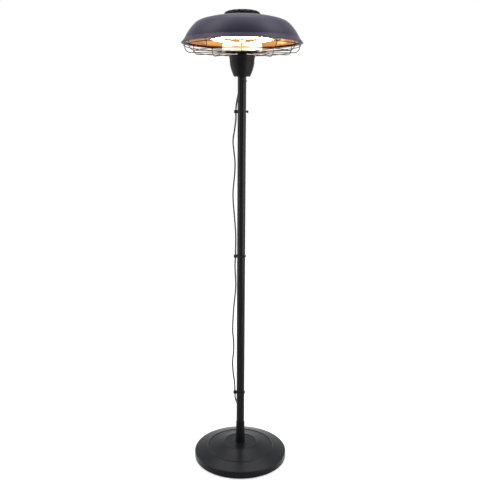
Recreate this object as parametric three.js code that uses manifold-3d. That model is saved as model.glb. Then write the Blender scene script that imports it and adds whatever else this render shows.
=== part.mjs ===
// Infrared patio heater tower: a weighted round base, a pole in three lengths, a neck housing with
// the controls, and a round hood over a reflector, three heating lamps and a wire guard.
// Millimetres, +Z up. The origin is on the floor under the pole, and the front looks towards -Y.
import * as THREE from 'three';
import { mergeVertices } from 'three/addons/utils/BufferGeometryUtils.js';
import Module from 'manifold-3d';

const wasm = await Module();
wasm.setup();

// ---------------------------------------------------------------- sizes

const gap = 0.3; // between pieces that seat on each other
const boltPlay = 0.5; // radial room round bolts and screws

// Base
const baseRadius = 222;
const padHeight = 4;
const padInset = 16; // cover's edge to the pad's outer edge
const padWidth = 18;
const coverFloorGap = 2.5;
const coverWall = 3;
const sideTopZ = 34;
const sideRound = 4;
const stepRadius = 158;
const stepTopZ = 54;
const stepHeight = 3.5;
const hubRadius = 79;
const hubTopZ = 72;
const hubStep = 2.4;
const weightInset = 12; // cover's edge to the weight's edge
const weightThickness = 12;
const weightHubRadius = 34;
const pocketRadius = 14;
const pocketDepth = 8.5;

// Centre bolt and nut
const boltRadius = 5;
const boltHeadRadius = 9;
const boltHeadHeight = 6;
const nutRadius = 9.8;
const nutHeight = 8;

// Pole and its socket
const poleRadius = 19;
const poleWall = 1.5;
const lowerPoleLength = 635;
const middlePoleLength = 625;
const upperPoleLength = 501.5;
const joinerWall = 2;
const joinerLength = 90;
const socketWall = 1.3;
const socketTopZ = 176;
const socketTaper = 1.9;
const socketFootRadius = 23;
const socketFootHeight = 4;
const socketWeb = 12;
const socketScrewRadius = 2.7;
const socketScrewZ = 150;
const socketScrewAngle = 45;

// Cord clips on the pole
const clipHeights = { upper: 1659, middle: 1003, lower: 328 };
const clipTabAngles = { upper: 0, middle: -55, lower: -55 };
const clipHeight = 14;
const clipRingHeight = 7;
const clipWall = 3;
const clipBridgeWidth = 11;
const clipCordOffset = 26.5; // pole axis to cord axis
const clipEyeRadius = 8;
const clipEyeBore = 4.6;
const clipTabLength = 7;
const clipTabThickness = 5;
const clipTabHeight = 11;

// Head spigot, the metal spine of the neck
const spigotWall = 6;
const spigotDepth = 107; // how far it reaches down into the pole
const plateThickness = 6.3;
const plateRadius = 44;
const spineRadius = 14;
const stemRadius = 21; // the thicker end that shows between neck and drum
const stemHeight = 13.5;
const stemDepth = 8; // how far the stem reaches down into the neck
const spigotScrewDrop = 57; // plate underside down to the side screw
const screwRadius = 2;
const screwHeadRadius = 4;
const screwHeadHeight = 3;

// Neck housing, two half shells
const neckWall = 2.5;
const neckFloor = 4;
const neckDrop = 37; // plate underside down to the neck's bottom
const neckRise = 52; // plate underside up to the neck's top
const neckTopPlate = 2.5;
const neckLipRadius = 59.5;
const neckLipHeight = 1.5;
const neckBottomRadius = 36.5;
// radius of the cup, and height above its bottom
const neckCup = [[39.5, 8], [44.5, 20.5], [49, 34], [52.4, 48], [54, 62], [54.7, 74], [58.5, 87.5]];
const neckScrewRadius = 1.6;
const neckScrewHeadRadius = 3.2;
const neckScrewHeadHeight = 2;
const neckScrewDepth = 5; // into the rim of the plate
const neckScrewAngle = 45;

// Controls and electrics in the neck
const knobRadius = 14.5;
const knobDepth = 14;
const knobRidge = 3;
const knobRidgeLength = 23;
const spindleRadius = 3;
const spindleRoom = 1;
const bossRadius = 17;
const bossFaceY = 56;
const bossBackY = 45;
const switchSize = [26, 21, 28];
const spindleReach = 8; // how far the spindle enters the switch
const terminalSize = [28, 16, 16];
const terminalY = -32;

// Cord gland under the neck
const glandAngle = 115;
const glandOffset = 27; // pole axis to gland axis
const glandRadius = 7;
const glandWaist = 6;
const glandTipRadius = 4.8;
const glandLength = 34;
const glandCollar = 5;
const glandFlange = 2.5;

// Lamp drum above the neck
const drumRadius = 88;
const drumHeight = 34.2;
const sheet = 1.2; // sheet metal of drum, hood and reflector
const plateSheet = 2;

// Centre tube between drum and hood
const tubeRadius = 12;
const tubeBore = 9;
const tubeFootRadius = 24;
const tubeFlangeRadius = 20;
const tubeFlangeHeight = 2.5;
const tubeTipRadius = 8;

// Hood and reflector
const hoodRimRadius = 265;
const rimAboveDrum = 2.3;
const flareWidth = 15;
const flareHeight = 18;
const sideRadius = 200;
const shoulderRadius = 80;
// slopes in degrees from the horizontal
const sideSlope = 65.3; // where the side starts above the flare
const shoulderSlope = 45; // where the shoulder starts
const crownSlope = 15.5; // where the crown starts
const lipWidth = 20.5;
const reflectorOffset = 7; // hood's outside to reflector's outside
const ventHoleCount = 8;
const ventHoleRadius = 9;
const ventHoleCircle = 45;

// Vent cap
const capRadius = 78;
const capSideHeight = 5;
const capBevelRadius = 76;
const capBevelHeight = 10; // from the cap's edge
const capShoulderRadius = 71;
const capShoulderHeight = 14; // from the cap's edge
const capTopRadius = 50;
const capTopDrop = 3.3;
const capRise = 18.3; // crown top to cap top
const capWall = 2.5;
const capInnerDrop = 1; // how far the shoulder's inside is drawn in
const capBossRadius = 12;
const capSlotCount = 18;
const capSlotWidth = 8;
const capSlotInnerRadius = 52;
const capBoltRadius = 3;
const capBoltHeadRadius = 7;
const capBoltFaceRadius = 5.6;
const capBoltHeadHeight = 1.5;
const capBoltLength = 40;

// Lamps in a triangle round the centre
const lampCount = 3;
const lampDistance = 96; // axis of the tower to a lamp's axis
const lampLift = 16.3; // drum top to lamp axis
const lampLength = 254;
const lampTubeRadius = 5;
const lampCapRadius = 6.5;
const lampCapLength = 18;
const holderLength = 21;
const holderWidth = 14;
const holderHeight = 16;
const bracketWidth = 24;
const bracketThickness = 2;

// Wire guard
const wireRadius = 1.6;
const guardTurn = -1; // degrees from the front to the first spoke
// spokes on each side, in degrees from the first one
const spokeAngles = [34.5, 62, 90, 118, 145.5];
const guardDrop = 38.5; // rim down to the spokes
const guardInset = 15; // hood's rim to the spokes' ends
const guardBend = 25;
const outerRingDrop = 10; // rim down to the outer ring
const middleRingInset = 39; // spokes' ends to the middle ring
const innerRingRadius = 115;

// Power cord
const cordRadius = 3.5;
const cordExit = 12; // straight below the gland
const cordMeet = 10; // straight above the hank
const hankTurns = 4;
const hankRun = 110;
const hankFoldRadius = 21; // inner folds, three cord diameters
const hankStep = 9; // from turn to turn
const hankLayerPitch = 7.5;
const hankWaistDraw = 13; // how far the tie draws the runs in
const hankTail = 56;
const hankTailLift = 22; // straight on from the last fold
const hankTailRun = 17; // straight before the plug
const tieHeight = 14;
const tieThickness = 1.6;
const tieRoom = 1.9;

// Plug
const plugRadius = 18.5;
const plugLength = 36;
const plugSleeve = 22;
const plugSleeveTip = 4.7; // radius where the cord goes in
const plugSleeveRoot = 8.5;
const plugShoulderRadius = 14.8;
const plugShoulderRise = 4; // sleeve to the shoulder
const plugShoulderLength = 12; // sleeve to the full radius
const pinRadius = 2.4;
const pinLength = 19;
const pinSpacing = 19;

// Facets round a turned piece, by its width
const facets = {
  ring: 40, dish: 36, cap: 36, drum: 32, neck: 28, smallRing: 24, pole: 24, knob: 20, tube: 16, screw: 12,
};
const domeSteps = [2, 2, 3]; // facets along side, shoulder and crown
const past = 1; // how far a cutting or joined shape goes past a face

// ---------------------------------------------------------------- worked out from the sizes

const padOuterRadius = baseRadius - padInset;
const padInnerRadius = padOuterRadius - padWidth;
const weightRadius = baseRadius - weightInset;
const weightBottomZ = padHeight + gap;
const pocketTopZ = weightBottomZ + pocketDepth;
const boltHoleRadius = boltRadius + boltPlay;
const socketBottomZ = hubTopZ + gap;
const socketWebTopZ = socketBottomZ + socketWeb;
const lowerPoleZ = socketWebTopZ + gap;
const middlePoleZ = lowerPoleZ + lowerPoleLength + gap;
const upperPoleZ = middlePoleZ + middlePoleLength + gap;
const plateZ = upperPoleZ + upperPoleLength + gap;
const neckBottomZ = plateZ - neckDrop;
const neckTopZ = plateZ + neckRise;
const drumBottomZ = neckTopZ + stemHeight;
const drumTopZ = drumBottomZ + drumHeight;
const lampZ = drumTopZ + lampLift;
const rimZ = drumTopZ + rimAboveDrum;
const flareTopRadius = hoodRimRadius - flareWidth;
const lipInnerRadius = hoodRimRadius - lipWidth;
const guardRadius = hoodRimRadius - guardInset;
const poleBore = poleRadius - poleWall;
const poleHole = poleRadius + gap;

// ---------------------------------------------------------------- materials

const finish = (color, roughness, metalness) =>
  new THREE.MeshStandardMaterial({ color, roughness, metalness });
const paint = finish(0x3b3a43, 0.5, 0.4);
const polePaint = finish(0x2b2a30, 0.4, 0.4);
const blackPlastic = finish(0x1b1a1d, 0.5, 0);
const coverPlastic = finish(0x38383c, 0.6, 0);
const rubber = finish(0x151515, 0.9, 0);
const castIron = finish(0x45444a, 0.8, 0.8);
const zinc = finish(0xa9a9a6, 0.4, 1);
const copperTone = finish(0xc87a42, 0.2, 1);
const brightSheet = finish(0xe8e2da, 0.15, 1);
const ceramic = finish(0xe6e0d2, 0.7, 0);
const lampGlass = finish(0xffd9a0, 0.1, 0);
const bronzeWire = finish(0x8a6247, 0.35, 1);

// ---------------------------------------------------------------- geometry helpers

const vector2 = ([x, y]) => new THREE.Vector2(x, y);
const degrees = THREE.MathUtils.degToRad;

function signedVolume(position, index) {
  const [a, b, c] = [new THREE.Vector3(), new THREE.Vector3(), new THREE.Vector3()];
  let volume = 0;
  for (let i = 0; i < index.length; i += 3) {
    a.fromBufferAttribute(position, index[i]);
    b.fromBufferAttribute(position, index[i + 1]);
    c.fromBufferAttribute(position, index[i + 2]);
    volume += a.dot(b.cross(c)) / 6;
  }
  return volume;
}

// Joins shared corners, drops collapsed triangles and turns the faces outwards.
function closed(geometry) {
  geometry.deleteAttribute('normal');
  geometry.deleteAttribute('uv');
  const merged = mergeVertices(geometry);
  const index = [];
  for (let i = 0; i < merged.index.count; i += 3) {
    const corners = [0, 1, 2].map((k) => merged.index.getX(i + k));
    if (new Set(corners).size === 3) index.push(...corners);
  }
  if (signedVolume(merged.attributes.position, index) < 0) index.reverse();
  merged.setIndex(index);
  return merged;
}

// A ring or vessel whose outline closes on itself, turned about +Z.
function turnedRing(outline, segments) {
  const points = [...outline, outline[0]].map(vector2);
  return closed(new THREE.LatheGeometry(points, segments).rotateX(Math.PI / 2));
}

// A body whose outline starts and ends on the axis, turned about +Z.
function turnedBody(outline, segments) {
  const points = outline.map(vector2);
  return closed(new THREE.LatheGeometry(points, segments).rotateX(Math.PI / 2));
}

// A cylinder that runs up from z.
function post(radius, height, z, sides) {
  const cylinder = new THREE.CylinderGeometry(radius, radius, height, sides);
  return closed(cylinder.rotateX(Math.PI / 2).translate(0, 0, z + height / 2));
}

// A cylinder that runs outwards along a radius of the tower.
function radialPost(radius, from, to, z, angle, sides) {
  const cylinder = new THREE.CylinderGeometry(radius, radius, to - from, sides);
  cylinder.rotateZ(-Math.PI / 2).translate((from + to) / 2, 0, z);
  return closed(cylinder.rotateZ(degrees(angle)));
}

function box([width, depth, height], [x, y, z]) {
  return closed(new THREE.BoxGeometry(width, depth, height).translate(x, y, z));
}

function toSolid(geometry) {
  const vertProperties = Float32Array.from(geometry.attributes.position.array);
  const triVerts = Uint32Array.from(geometry.index.array);
  return new wasm.Manifold(new wasm.Mesh({ numProp: 3, vertProperties, triVerts }));
}

function toGeometry(solid) {
  const mesh = solid.getMesh();
  const geometry = new THREE.BufferGeometry();
  geometry.setAttribute('position', new THREE.BufferAttribute(mesh.vertProperties, 3));
  geometry.setIndex(new THREE.BufferAttribute(mesh.triVerts, 1));
  return geometry;
}

const cut = (geometry, ...tools) =>
  toGeometry(tools.reduce((solid, tool) => solid.subtract(toSolid(tool)), toSolid(geometry)));
const join = (geometry, ...others) =>
  toGeometry(others.reduce((solid, other) => solid.add(toSolid(other)), toSolid(geometry)));
const common = (geometry, other) =>
  toGeometry(toSolid(geometry).intersect(toSolid(other)));

// A round tube through points, one ring of corners at each point, closed at both ends.
function sweep(points, radius, sides) {
  const last = points.length - 1;
  const positions = [];
  const index = [];
  const side = new THREE.Vector3();
  points.forEach((point, i) => {
    const tangent = new THREE.Vector3();
    if (i > 0) tangent.add(point.clone().sub(points[i - 1]).normalize());
    if (i < last) tangent.add(points[i + 1].clone().sub(point).normalize());
    tangent.normalize();
    if (i === 0) side.set(Math.abs(tangent.x) < 0.9 ? 1 : 0, Math.abs(tangent.x) < 0.9 ? 0 : 1, 0);
    side.addScaledVector(tangent, -side.dot(tangent)).normalize();
    const up = tangent.clone().cross(side);
    for (let k = 0; k < sides; k += 1) {
      const turn = (2 * Math.PI * k) / sides;
      const corner = point.clone().addScaledVector(side, radius * Math.cos(turn));
      corner.addScaledVector(up, radius * Math.sin(turn));
      positions.push(corner.x, corner.y, corner.z);
    }
  });
  for (let i = 0; i < last; i += 1) {
    for (let k = 0; k < sides; k += 1) {
      const a = i * sides + k;
      const b = i * sides + ((k + 1) % sides);
      index.push(a, b, b + sides, a, b + sides, a + sides);
    }
  }
  for (let k = 1; k < sides - 1; k += 1) {
    index.push(0, k + 1, k);
    index.push(last * sides, last * sides + k, last * sides + k + 1);
  }
  const geometry = new THREE.BufferGeometry();
  geometry.setAttribute('position', new THREE.Float32BufferAttribute(positions, 3));
  geometry.setIndex(index);
  return closed(geometry);
}

// A round tube along a curve with evenly spaced steps.
function tube(curve, radius, sides, steps) {
  const section = new THREE.Shape();
  section.absarc(0, 0, radius, 0, 2 * Math.PI, false);
  const points = section.getSpacedPoints(sides).slice(0, sides);
  const options = { steps, bevelEnabled: false, extrudePath: curve };
  return closed(new THREE.ExtrudeGeometry(new THREE.Shape(points), options));
}

function piece(parent, name, geometry, material, z = 0) {
  const mesh = new THREE.Mesh(geometry, material);
  mesh.name = name;
  mesh.position.z = z;
  parent.add(mesh);
  return mesh;
}

// The second value of a run of points where the first one reaches a value.
function valueAt(points, value) {
  const next = points.findIndex(([x], i) => i > 0 && (x - value) * (points[i - 1][0] - value) <= 0);
  const [[x0, y0], [x1, y1]] = [points[next - 1], points[next]];
  return y0 + ((y1 - y0) * (value - x0)) / (x1 - x0);
}

const heater = new THREE.Group();
const [base, pole, neck, head, guard, cord] = Array.from({ length: 6 }, () => new THREE.Group());
heater.add(base, pole, neck, head, guard, cord);

// ---------------------------------------------------------------- base

function buildBase() {
  const cover = [
    [boltHoleRadius, hubTopZ],
    [hubRadius - hubStep, hubTopZ],
    [hubRadius, hubTopZ - hubStep],
    [stepRadius - stepHeight, stepTopZ],
    [stepRadius, stepTopZ - stepHeight],
    [baseRadius - sideRound, sideTopZ],
    [baseRadius - sideRound / 3, sideTopZ - sideRound / 3],
    [baseRadius, sideTopZ - sideRound],
    [baseRadius, coverFloorGap],
    [baseRadius - coverWall, coverFloorGap],
    [baseRadius - coverWall, sideTopZ - sideRound / 2 - coverWall],
    [stepRadius - coverWall, stepTopZ - stepHeight - coverWall],
    [hubRadius - coverWall, hubTopZ - hubStep - coverWall],
    [hubRadius - hubStep - coverWall, hubTopZ - coverWall],
    [boltHoleRadius, hubTopZ - coverWall],
  ];
  piece(base, 'base_cover', turnedRing(cover, facets.dish), coverPlastic);

  const weightTopZ = weightBottomZ + weightThickness;
  const weight = [
    [boltHoleRadius, pocketTopZ],
    [pocketRadius, pocketTopZ],
    [pocketRadius, weightBottomZ],
    [weightRadius, weightBottomZ],
    [weightRadius, weightTopZ],
    [weightHubRadius, weightTopZ],
    [weightHubRadius, hubTopZ - coverWall - gap],
    [boltHoleRadius, hubTopZ - coverWall - gap],
  ];
  piece(base, 'base_weight', turnedRing(weight, facets.neck), castIron);

  const pad = [
    [padInnerRadius, 0],
    [padOuterRadius, 0],
    [padOuterRadius, padHeight],
    [padInnerRadius, padHeight],
  ];
  piece(base, 'base_pad', turnedRing(pad, facets.dish), rubber);

  const headTopZ = pocketTopZ - gap;
  const boltTopZ = socketWebTopZ + gap + nutHeight + gap;
  const bolt = [
    [0, headTopZ - boltHeadHeight],
    [boltHeadRadius, headTopZ - boltHeadHeight],
    [boltHeadRadius, headTopZ],
    [boltRadius, headTopZ],
    [boltRadius, boltTopZ],
    [0, boltTopZ],
  ];
  piece(base, 'centre_bolt', turnedBody(bolt, facets.screw), zinc);

  const nutBore = post(boltHoleRadius, nutHeight + 2 * past, -past, facets.screw);
  const nut = cut(post(nutRadius, nutHeight, 0, 6), nutBore);
  piece(base, 'socket_nut', nut, zinc, lowerPoleZ);
}

// ---------------------------------------------------------------- pole

function buildPole() {
  const mouth = poleHole + socketWall;
  const socket = [
    [boltHoleRadius, socketBottomZ],
    [socketFootRadius, socketBottomZ],
    [socketFootRadius, socketBottomZ + socketFootHeight],
    [mouth + socketTaper, socketBottomZ + 2 * socketFootHeight],
    [mouth, socketTopZ],
    [poleHole, socketTopZ],
    [poleHole, socketWebTopZ],
    [boltHoleRadius, socketWebTopZ],
  ];
  const [from, to] = [poleRadius, socketFootRadius];
  const screwHole = radialPost(
    socketScrewRadius + gap, from, to + socketTaper, socketScrewZ, socketScrewAngle, facets.screw,
  );
  piece(pole, 'pole_socket', cut(turnedRing(socket, facets.pole), screwHole), blackPlastic);
  const grub = radialPost(socketScrewRadius, from + gap, to, socketScrewZ, socketScrewAngle, facets.screw);
  piece(pole, 'socket_screw', grub, zinc);

  const length = (name, z, height, ...holes) => {
    const outline = [[poleBore, 0], [poleRadius, 0], [poleRadius, height], [poleBore, height]];
    const whole = turnedRing(outline, facets.pole);
    piece(pole, name, holes.length ? cut(whole, ...holes) : whole, polePaint, z);
  };
  const screwHeight = upperPoleLength + gap - spigotScrewDrop;
  const screwPath = radialPost(screwRadius + gap, 0, 2 * poleRadius, screwHeight, 0, facets.screw);
  length('pole_lower', lowerPoleZ, lowerPoleLength);
  length('pole_middle', middlePoleZ, middlePoleLength);
  length('pole_upper', upperPoleZ, upperPoleLength, screwPath);

  const joinerRadius = poleBore - gap;
  const half = joinerLength / 2;
  const joiner = [
    [joinerRadius - joinerWall, -half],
    [joinerRadius, -half],
    [joinerRadius, half],
    [joinerRadius - joinerWall, half],
  ];
  piece(pole, 'joiner_lower', turnedRing(joiner, facets.pole), zinc, middlePoleZ - gap / 2);
  piece(pole, 'joiner_upper', turnedRing(joiner, facets.pole), zinc, upperPoleZ - gap / 2);
}

// A ring round the pole with an eye for the cord and a closing tab.
function clip(tabAngle) {
  const outer = poleHole + clipWall;
  const bottom = -clipHeight / 2;
  const eye = post(clipEyeRadius, clipHeight, bottom, facets.screw).translate(-clipCordOffset, 0, 0);
  const bridge = box([clipCordOffset, clipBridgeWidth, clipHeight], [-clipCordOffset / 2, 0, 0]);
  const reach = outer + clipTabLength;
  const tab = box([reach, clipTabThickness, clipTabHeight], [reach / 2, 0, 0]);
  tab.rotateZ(degrees(tabAngle));
  const ring = post(outer, clipRingHeight, -clipRingHeight / 2, facets.pole);
  const cordHole = post(clipEyeBore, 2 * clipHeight, -clipHeight, facets.screw);
  cordHole.translate(-clipCordOffset, 0, 0);
  return cut(join(ring, eye, bridge, tab), post(poleHole, 2 * clipHeight, -clipHeight, facets.pole), cordHole);
}

function buildClips() {
  Object.entries(clipHeights).forEach(([place, z]) => {
    piece(pole, `cord_clip_${place}`, clip(clipTabAngles[place]), blackPlastic, z);
  });
}

// ---------------------------------------------------------------- neck

function buildSpigot() {
  const bore = poleBore - gap - spigotWall;
  const topZ = drumBottomZ - gap;
  const outline = [
    [bore, plateZ - spigotDepth],
    [poleBore - gap, plateZ - spigotDepth],
    [poleBore - gap, plateZ],
    [plateRadius, plateZ],
    [plateRadius, plateZ + plateThickness],
    [spineRadius, plateZ + plateThickness],
    [spineRadius, neckTopZ - stemDepth - stemRadius + spineRadius],
    [stemRadius, neckTopZ - stemDepth],
    [stemRadius, topZ],
    [bore, topZ],
  ];
  const screwZ = plateZ - spigotScrewDrop;
  const sideHole = radialPost(screwRadius + gap, 0, poleRadius, screwZ, 0, facets.screw);
  const rearScrewZ = plateZ + plateThickness / 2;
  const [from, to] = [plateRadius - neckScrewDepth - gap, plateRadius + neckScrewDepth];
  const rearHoles = [neckScrewAngle, 180 - neckScrewAngle].map((angle) =>
    radialPost(neckScrewRadius + gap, from, to, rearScrewZ, angle, facets.screw));
  const spigot = cut(turnedRing(outline, facets.pole), sideHole, ...rearHoles);
  piece(neck, 'head_spigot', spigot, zinc);

  const seat = poleRadius + gap;
  const shank = radialPost(screwRadius, bore + past, seat + past, screwZ, 0, facets.screw);
  const top = seat + screwHeadHeight;
  const headRound = radialPost(screwHeadRadius, seat, top, screwZ, 0, facets.screw);
  piece(neck, 'spigot_screw', join(shank, headRound), zinc);
}

// Outer radius of the neck cup at a height above its bottom.
const neckCurve = new THREE.SplineCurve([[neckBottomRadius, 0], ...neckCup].map(vector2));
const neckPoints = neckCurve.getSpacedPoints(8).map((p) => [p.x, p.y]);
const neckRadiusAt = (height) => valueAt(neckPoints.map(([r, h]) => [h, r]), height);

function buildNeck() {
  const height = neckTopZ - neckBottomZ;
  const ceiling = height - neckTopPlate;
  const inside = neckPoints
    .filter(([, h]) => h > neckFloor && h < ceiling)
    .map(([r, h]) => [r - neckWall, h])
    .reverse();
  const outline = [
    [poleHole, 0],
    ...neckPoints,
    [neckLipRadius, height - neckLipHeight / 2],
    [neckLipRadius, height],
    [stemRadius + gap, height],
    [stemRadius + gap, ceiling],
    [neckRadiusAt(ceiling) - neckWall, ceiling],
    ...inside,
    [neckRadiusAt(neckFloor) - neckWall, neckFloor],
    [poleHole, neckFloor],
  ];
  const whole = turnedRing(outline, facets.neck).translate(0, 0, neckBottomZ);
  const size = 4 * neckLipRadius;
  const halfAway = (y) => box([size, size, size], [0, y, (neckBottomZ + neckTopZ) / 2]);
  const split = (size + gap) / 2;
  const front = cut(whole, halfAway(split - gap));
  const rear = cut(whole, halfAway(-split + gap));
  piece(neck, 'neck_front', front, blackPlastic);

  const [switchWidth, switchDepth, switchHeight] = switchSize;
  const shelf = plateZ + plateThickness + gap;
  const axisZ = shelf + switchHeight / 2;
  const alongY = (radius, from, to, sides) =>
    post(radius, to - from, from, sides).rotateX(-Math.PI / 2).translate(0, 0, axisZ);
  const boss = alongY(bossRadius, bossBackY, bossFaceY, facets.knob);
  const bore = alongY(spindleRadius + spindleRoom, 0, 2 * bossFaceY, facets.screw);
  const glandX = glandOffset * Math.cos(degrees(glandAngle));
  const glandY = glandOffset * Math.sin(degrees(glandAngle));
  const glandHole = post(glandWaist + boltPlay, 3 * neckFloor, neckBottomZ - neckFloor, facets.tube);
  glandHole.translate(glandX, glandY, 0);
  const screwZ = plateZ + plateThickness / 2;
  const screwAngles = [neckScrewAngle, 180 - neckScrewAngle];
  const screwHoles = screwAngles.map((angle) =>
    radialPost(neckScrewRadius + gap, plateRadius, 2 * plateRadius, screwZ, angle, facets.screw));
  const rearShell = cut(join(rear, boss), bore, glandHole, ...screwHoles);
  piece(neck, 'neck_rear', rearShell, blackPlastic);

  const seat = neckRadiusAt(screwZ + neckScrewHeadRadius - neckBottomZ) + gap;
  ['right', 'left'].forEach((hand, i) => {
    const outwards = (radius, from, to) =>
      radialPost(radius, from, to, screwZ, screwAngles[i], facets.screw);
    const shank = outwards(neckScrewRadius, plateRadius - neckScrewDepth, seat + past);
    const top = outwards(neckScrewHeadRadius, seat, seat + neckScrewHeadHeight);
    piece(neck, `neck_screw_${hand}`, join(shank, top), zinc);
  });

  const switchFace = bossBackY - gap;
  const switchBody = box(
    [switchWidth, switchDepth, switchHeight], [0, switchFace - switchDepth / 2, axisZ],
  );
  const boreFrom = switchFace - spindleReach - gap;
  const switchBore = alongY(spindleRadius + gap, boreFrom, bossFaceY, facets.screw);
  piece(neck, 'selector_switch', cut(switchBody, switchBore), blackPlastic);

  const knobBack = bossFaceY + gap;
  const dial = alongY(knobRadius, knobBack, knobBack + knobDepth, facets.knob);
  const spindle = alongY(spindleRadius, switchFace - spindleReach, knobBack + past, facets.screw);
  const ridgeDepth = knobRidge + past;
  const ridge = box(
    [knobRidge, ridgeDepth, knobRidgeLength], [0, knobBack + knobDepth - past + ridgeDepth / 2, axisZ],
  );
  piece(neck, 'selector_knob', join(dial, spindle, ridge), blackPlastic);

  const block = box(terminalSize, [0, terminalY, shelf + terminalSize[2] / 2]);
  piece(neck, 'terminal_block', block, ceramic);

  const under = neckBottomZ - gap;
  const above = neckBottomZ + neckFloor + gap;
  const gland = turnedBody([
    [0, above + glandFlange],
    [glandRadius, above + glandFlange],
    [glandRadius, above],
    [glandWaist, above],
    [glandWaist, under],
    [glandRadius, under],
    [glandRadius, under - glandCollar],
    [glandTipRadius, under - glandLength],
    [0, under - glandLength],
  ], facets.tube);
  piece(neck, 'cord_gland', gland.translate(glandX, glandY, 0), blackPlastic);
}

// ---------------------------------------------------------------- head

// Above the flare the hood's profile is a chain of tangent arcs. The last one, the crown, has its
// centre on the axis. Slopes are in radians from the horizontal.
function domeArcs() {
  const arcs = [];
  let [x, z] = [flareTopRadius, rimZ + flareHeight];
  const chain = [
    [sideRadius, degrees(sideSlope), degrees(shoulderSlope)],
    [shoulderRadius, degrees(shoulderSlope), degrees(crownSlope)],
  ];
  chain.forEach(([radius, start, end]) => {
    const centre = [x - radius * Math.sin(start), z - radius * Math.cos(start)];
    arcs.push({ centre, radius, start, end });
    [x, z] = [centre[0] + radius * Math.sin(end), centre[1] + radius * Math.cos(end)];
  });
  const start = degrees(crownSlope);
  const radius = x / Math.sin(start);
  arcs.push({ centre: [0, z - radius * Math.cos(start)], radius, start, end: 0 });
  return arcs;
}

const dome = domeArcs();
const crown = dome.at(-1);
const crownTopZ = crown.centre[1] + crown.radius;

// The hood's outline from the rim to a hole in the crown, moved inwards by an offset.
function domeOutline(offset, bottomZ, holeRadius) {
  const flareSlope = Math.atan2(flareHeight, flareWidth);
  const bend = degrees(sideSlope) - flareSlope;
  const spread = offset / Math.cos(bend / 2);
  const crease = [
    flareTopRadius - spread * Math.sin(flareSlope + bend / 2),
    rimZ + flareHeight - spread * Math.cos(flareSlope + bend / 2),
  ];
  const outline = [[crease[0] + (crease[1] - bottomZ) / Math.tan(flareSlope), bottomZ], crease];
  dome.forEach((arc, i) => {
    const radius = arc.radius - offset;
    const end = arc === crown ? Math.asin(holeRadius / radius) : arc.end;
    for (let k = 1; k <= domeSteps[i]; k += 1) {
      const slope = arc.start + ((end - arc.start) * k) / domeSteps[i];
      const x = arc.centre[0] + radius * Math.sin(slope);
      outline.push([x, arc.centre[1] + radius * Math.cos(slope)]);
    }
  });
  return outline;
}

const tipHole = tubeTipRadius + gap;
const tubeHole = tubeRadius + gap;
const reflectorBottomZ = rimZ + sheet + gap;
const hoodOutside = domeOutline(0, rimZ, tipHole);
const hoodInside = domeOutline(sheet, rimZ + sheet, tipHole);
const reflectorOutside = domeOutline(reflectorOffset, reflectorBottomZ, tubeHole);
const reflectorInside = domeOutline(reflectorOffset + sheet, reflectorBottomZ, tubeHole);

function buildHood() {
  const lip = [[lipInnerRadius, rimZ + sheet], [lipInnerRadius, rimZ]];
  const outline = [...hoodOutside, ...hoodInside.toReversed(), ...lip];
  const vents = Array.from({ length: ventHoleCount }, (_, i) => {
    const hole = post(ventHoleRadius, capRise, crownTopZ - capRise / 2, 8);
    return hole.translate(ventHoleCircle, 0, 0).rotateZ((2 * Math.PI * i) / ventHoleCount);
  });
  piece(head, 'hood', cut(turnedRing(outline, facets.dish), ...vents), paint);

  const shell = [...reflectorOutside, ...reflectorInside.toReversed()];
  piece(head, 'reflector', turnedRing(shell, facets.dish), copperTone);
}

function buildCap() {
  const edgeZ = valueAt(hoodOutside, capRadius - capWall) - crownTopZ + gap;
  const slotBottom = edgeZ + capSideHeight;
  const hole = capBoltRadius + boltPlay;
  const cap = [
    [capRadius, edgeZ],
    [capRadius, slotBottom],
    [capBevelRadius, edgeZ + capBevelHeight],
    [capShoulderRadius, edgeZ + capShoulderHeight],
    [capTopRadius, capRise - capTopDrop],
    [hole, capRise],
    [hole, gap],
    [capBossRadius, gap],
    [capBossRadius, capRise - capWall],
    [capTopRadius, capRise - capTopDrop - capWall],
    [capShoulderRadius - capInnerDrop, edgeZ + capShoulderHeight - capWall],
    [capBevelRadius - capWall, edgeZ + capBevelHeight - capInnerDrop],
    [capRadius - capWall, slotBottom],
    [capRadius - capWall, edgeZ],
  ];
  const slotLength = capRadius + past - capSlotInnerRadius;
  const slots = Array.from({ length: capSlotCount }, (_, i) => {
    const middle = capSlotInnerRadius + slotLength / 2;
    const slot = box([slotLength, capSlotWidth, capRise], [middle, 0, slotBottom + capRise / 2]);
    return slot.rotateZ((2 * Math.PI * i) / capSlotCount);
  });
  piece(head, 'vent_cap', cut(turnedRing(cap, facets.cap), ...slots), blackPlastic, crownTopZ);

  const bolt = [
    [0, capRise + gap - capBoltLength],
    [capBoltRadius, capRise + gap - capBoltLength],
    [capBoltRadius, capRise + gap],
    [capBoltHeadRadius, capRise + gap],
    [capBoltFaceRadius, capRise + gap + capBoltHeadHeight],
    [0, capRise + gap + capBoltHeadHeight],
  ];
  piece(head, 'cap_bolt', turnedBody(bolt, facets.screw), zinc, crownTopZ);
}

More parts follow.
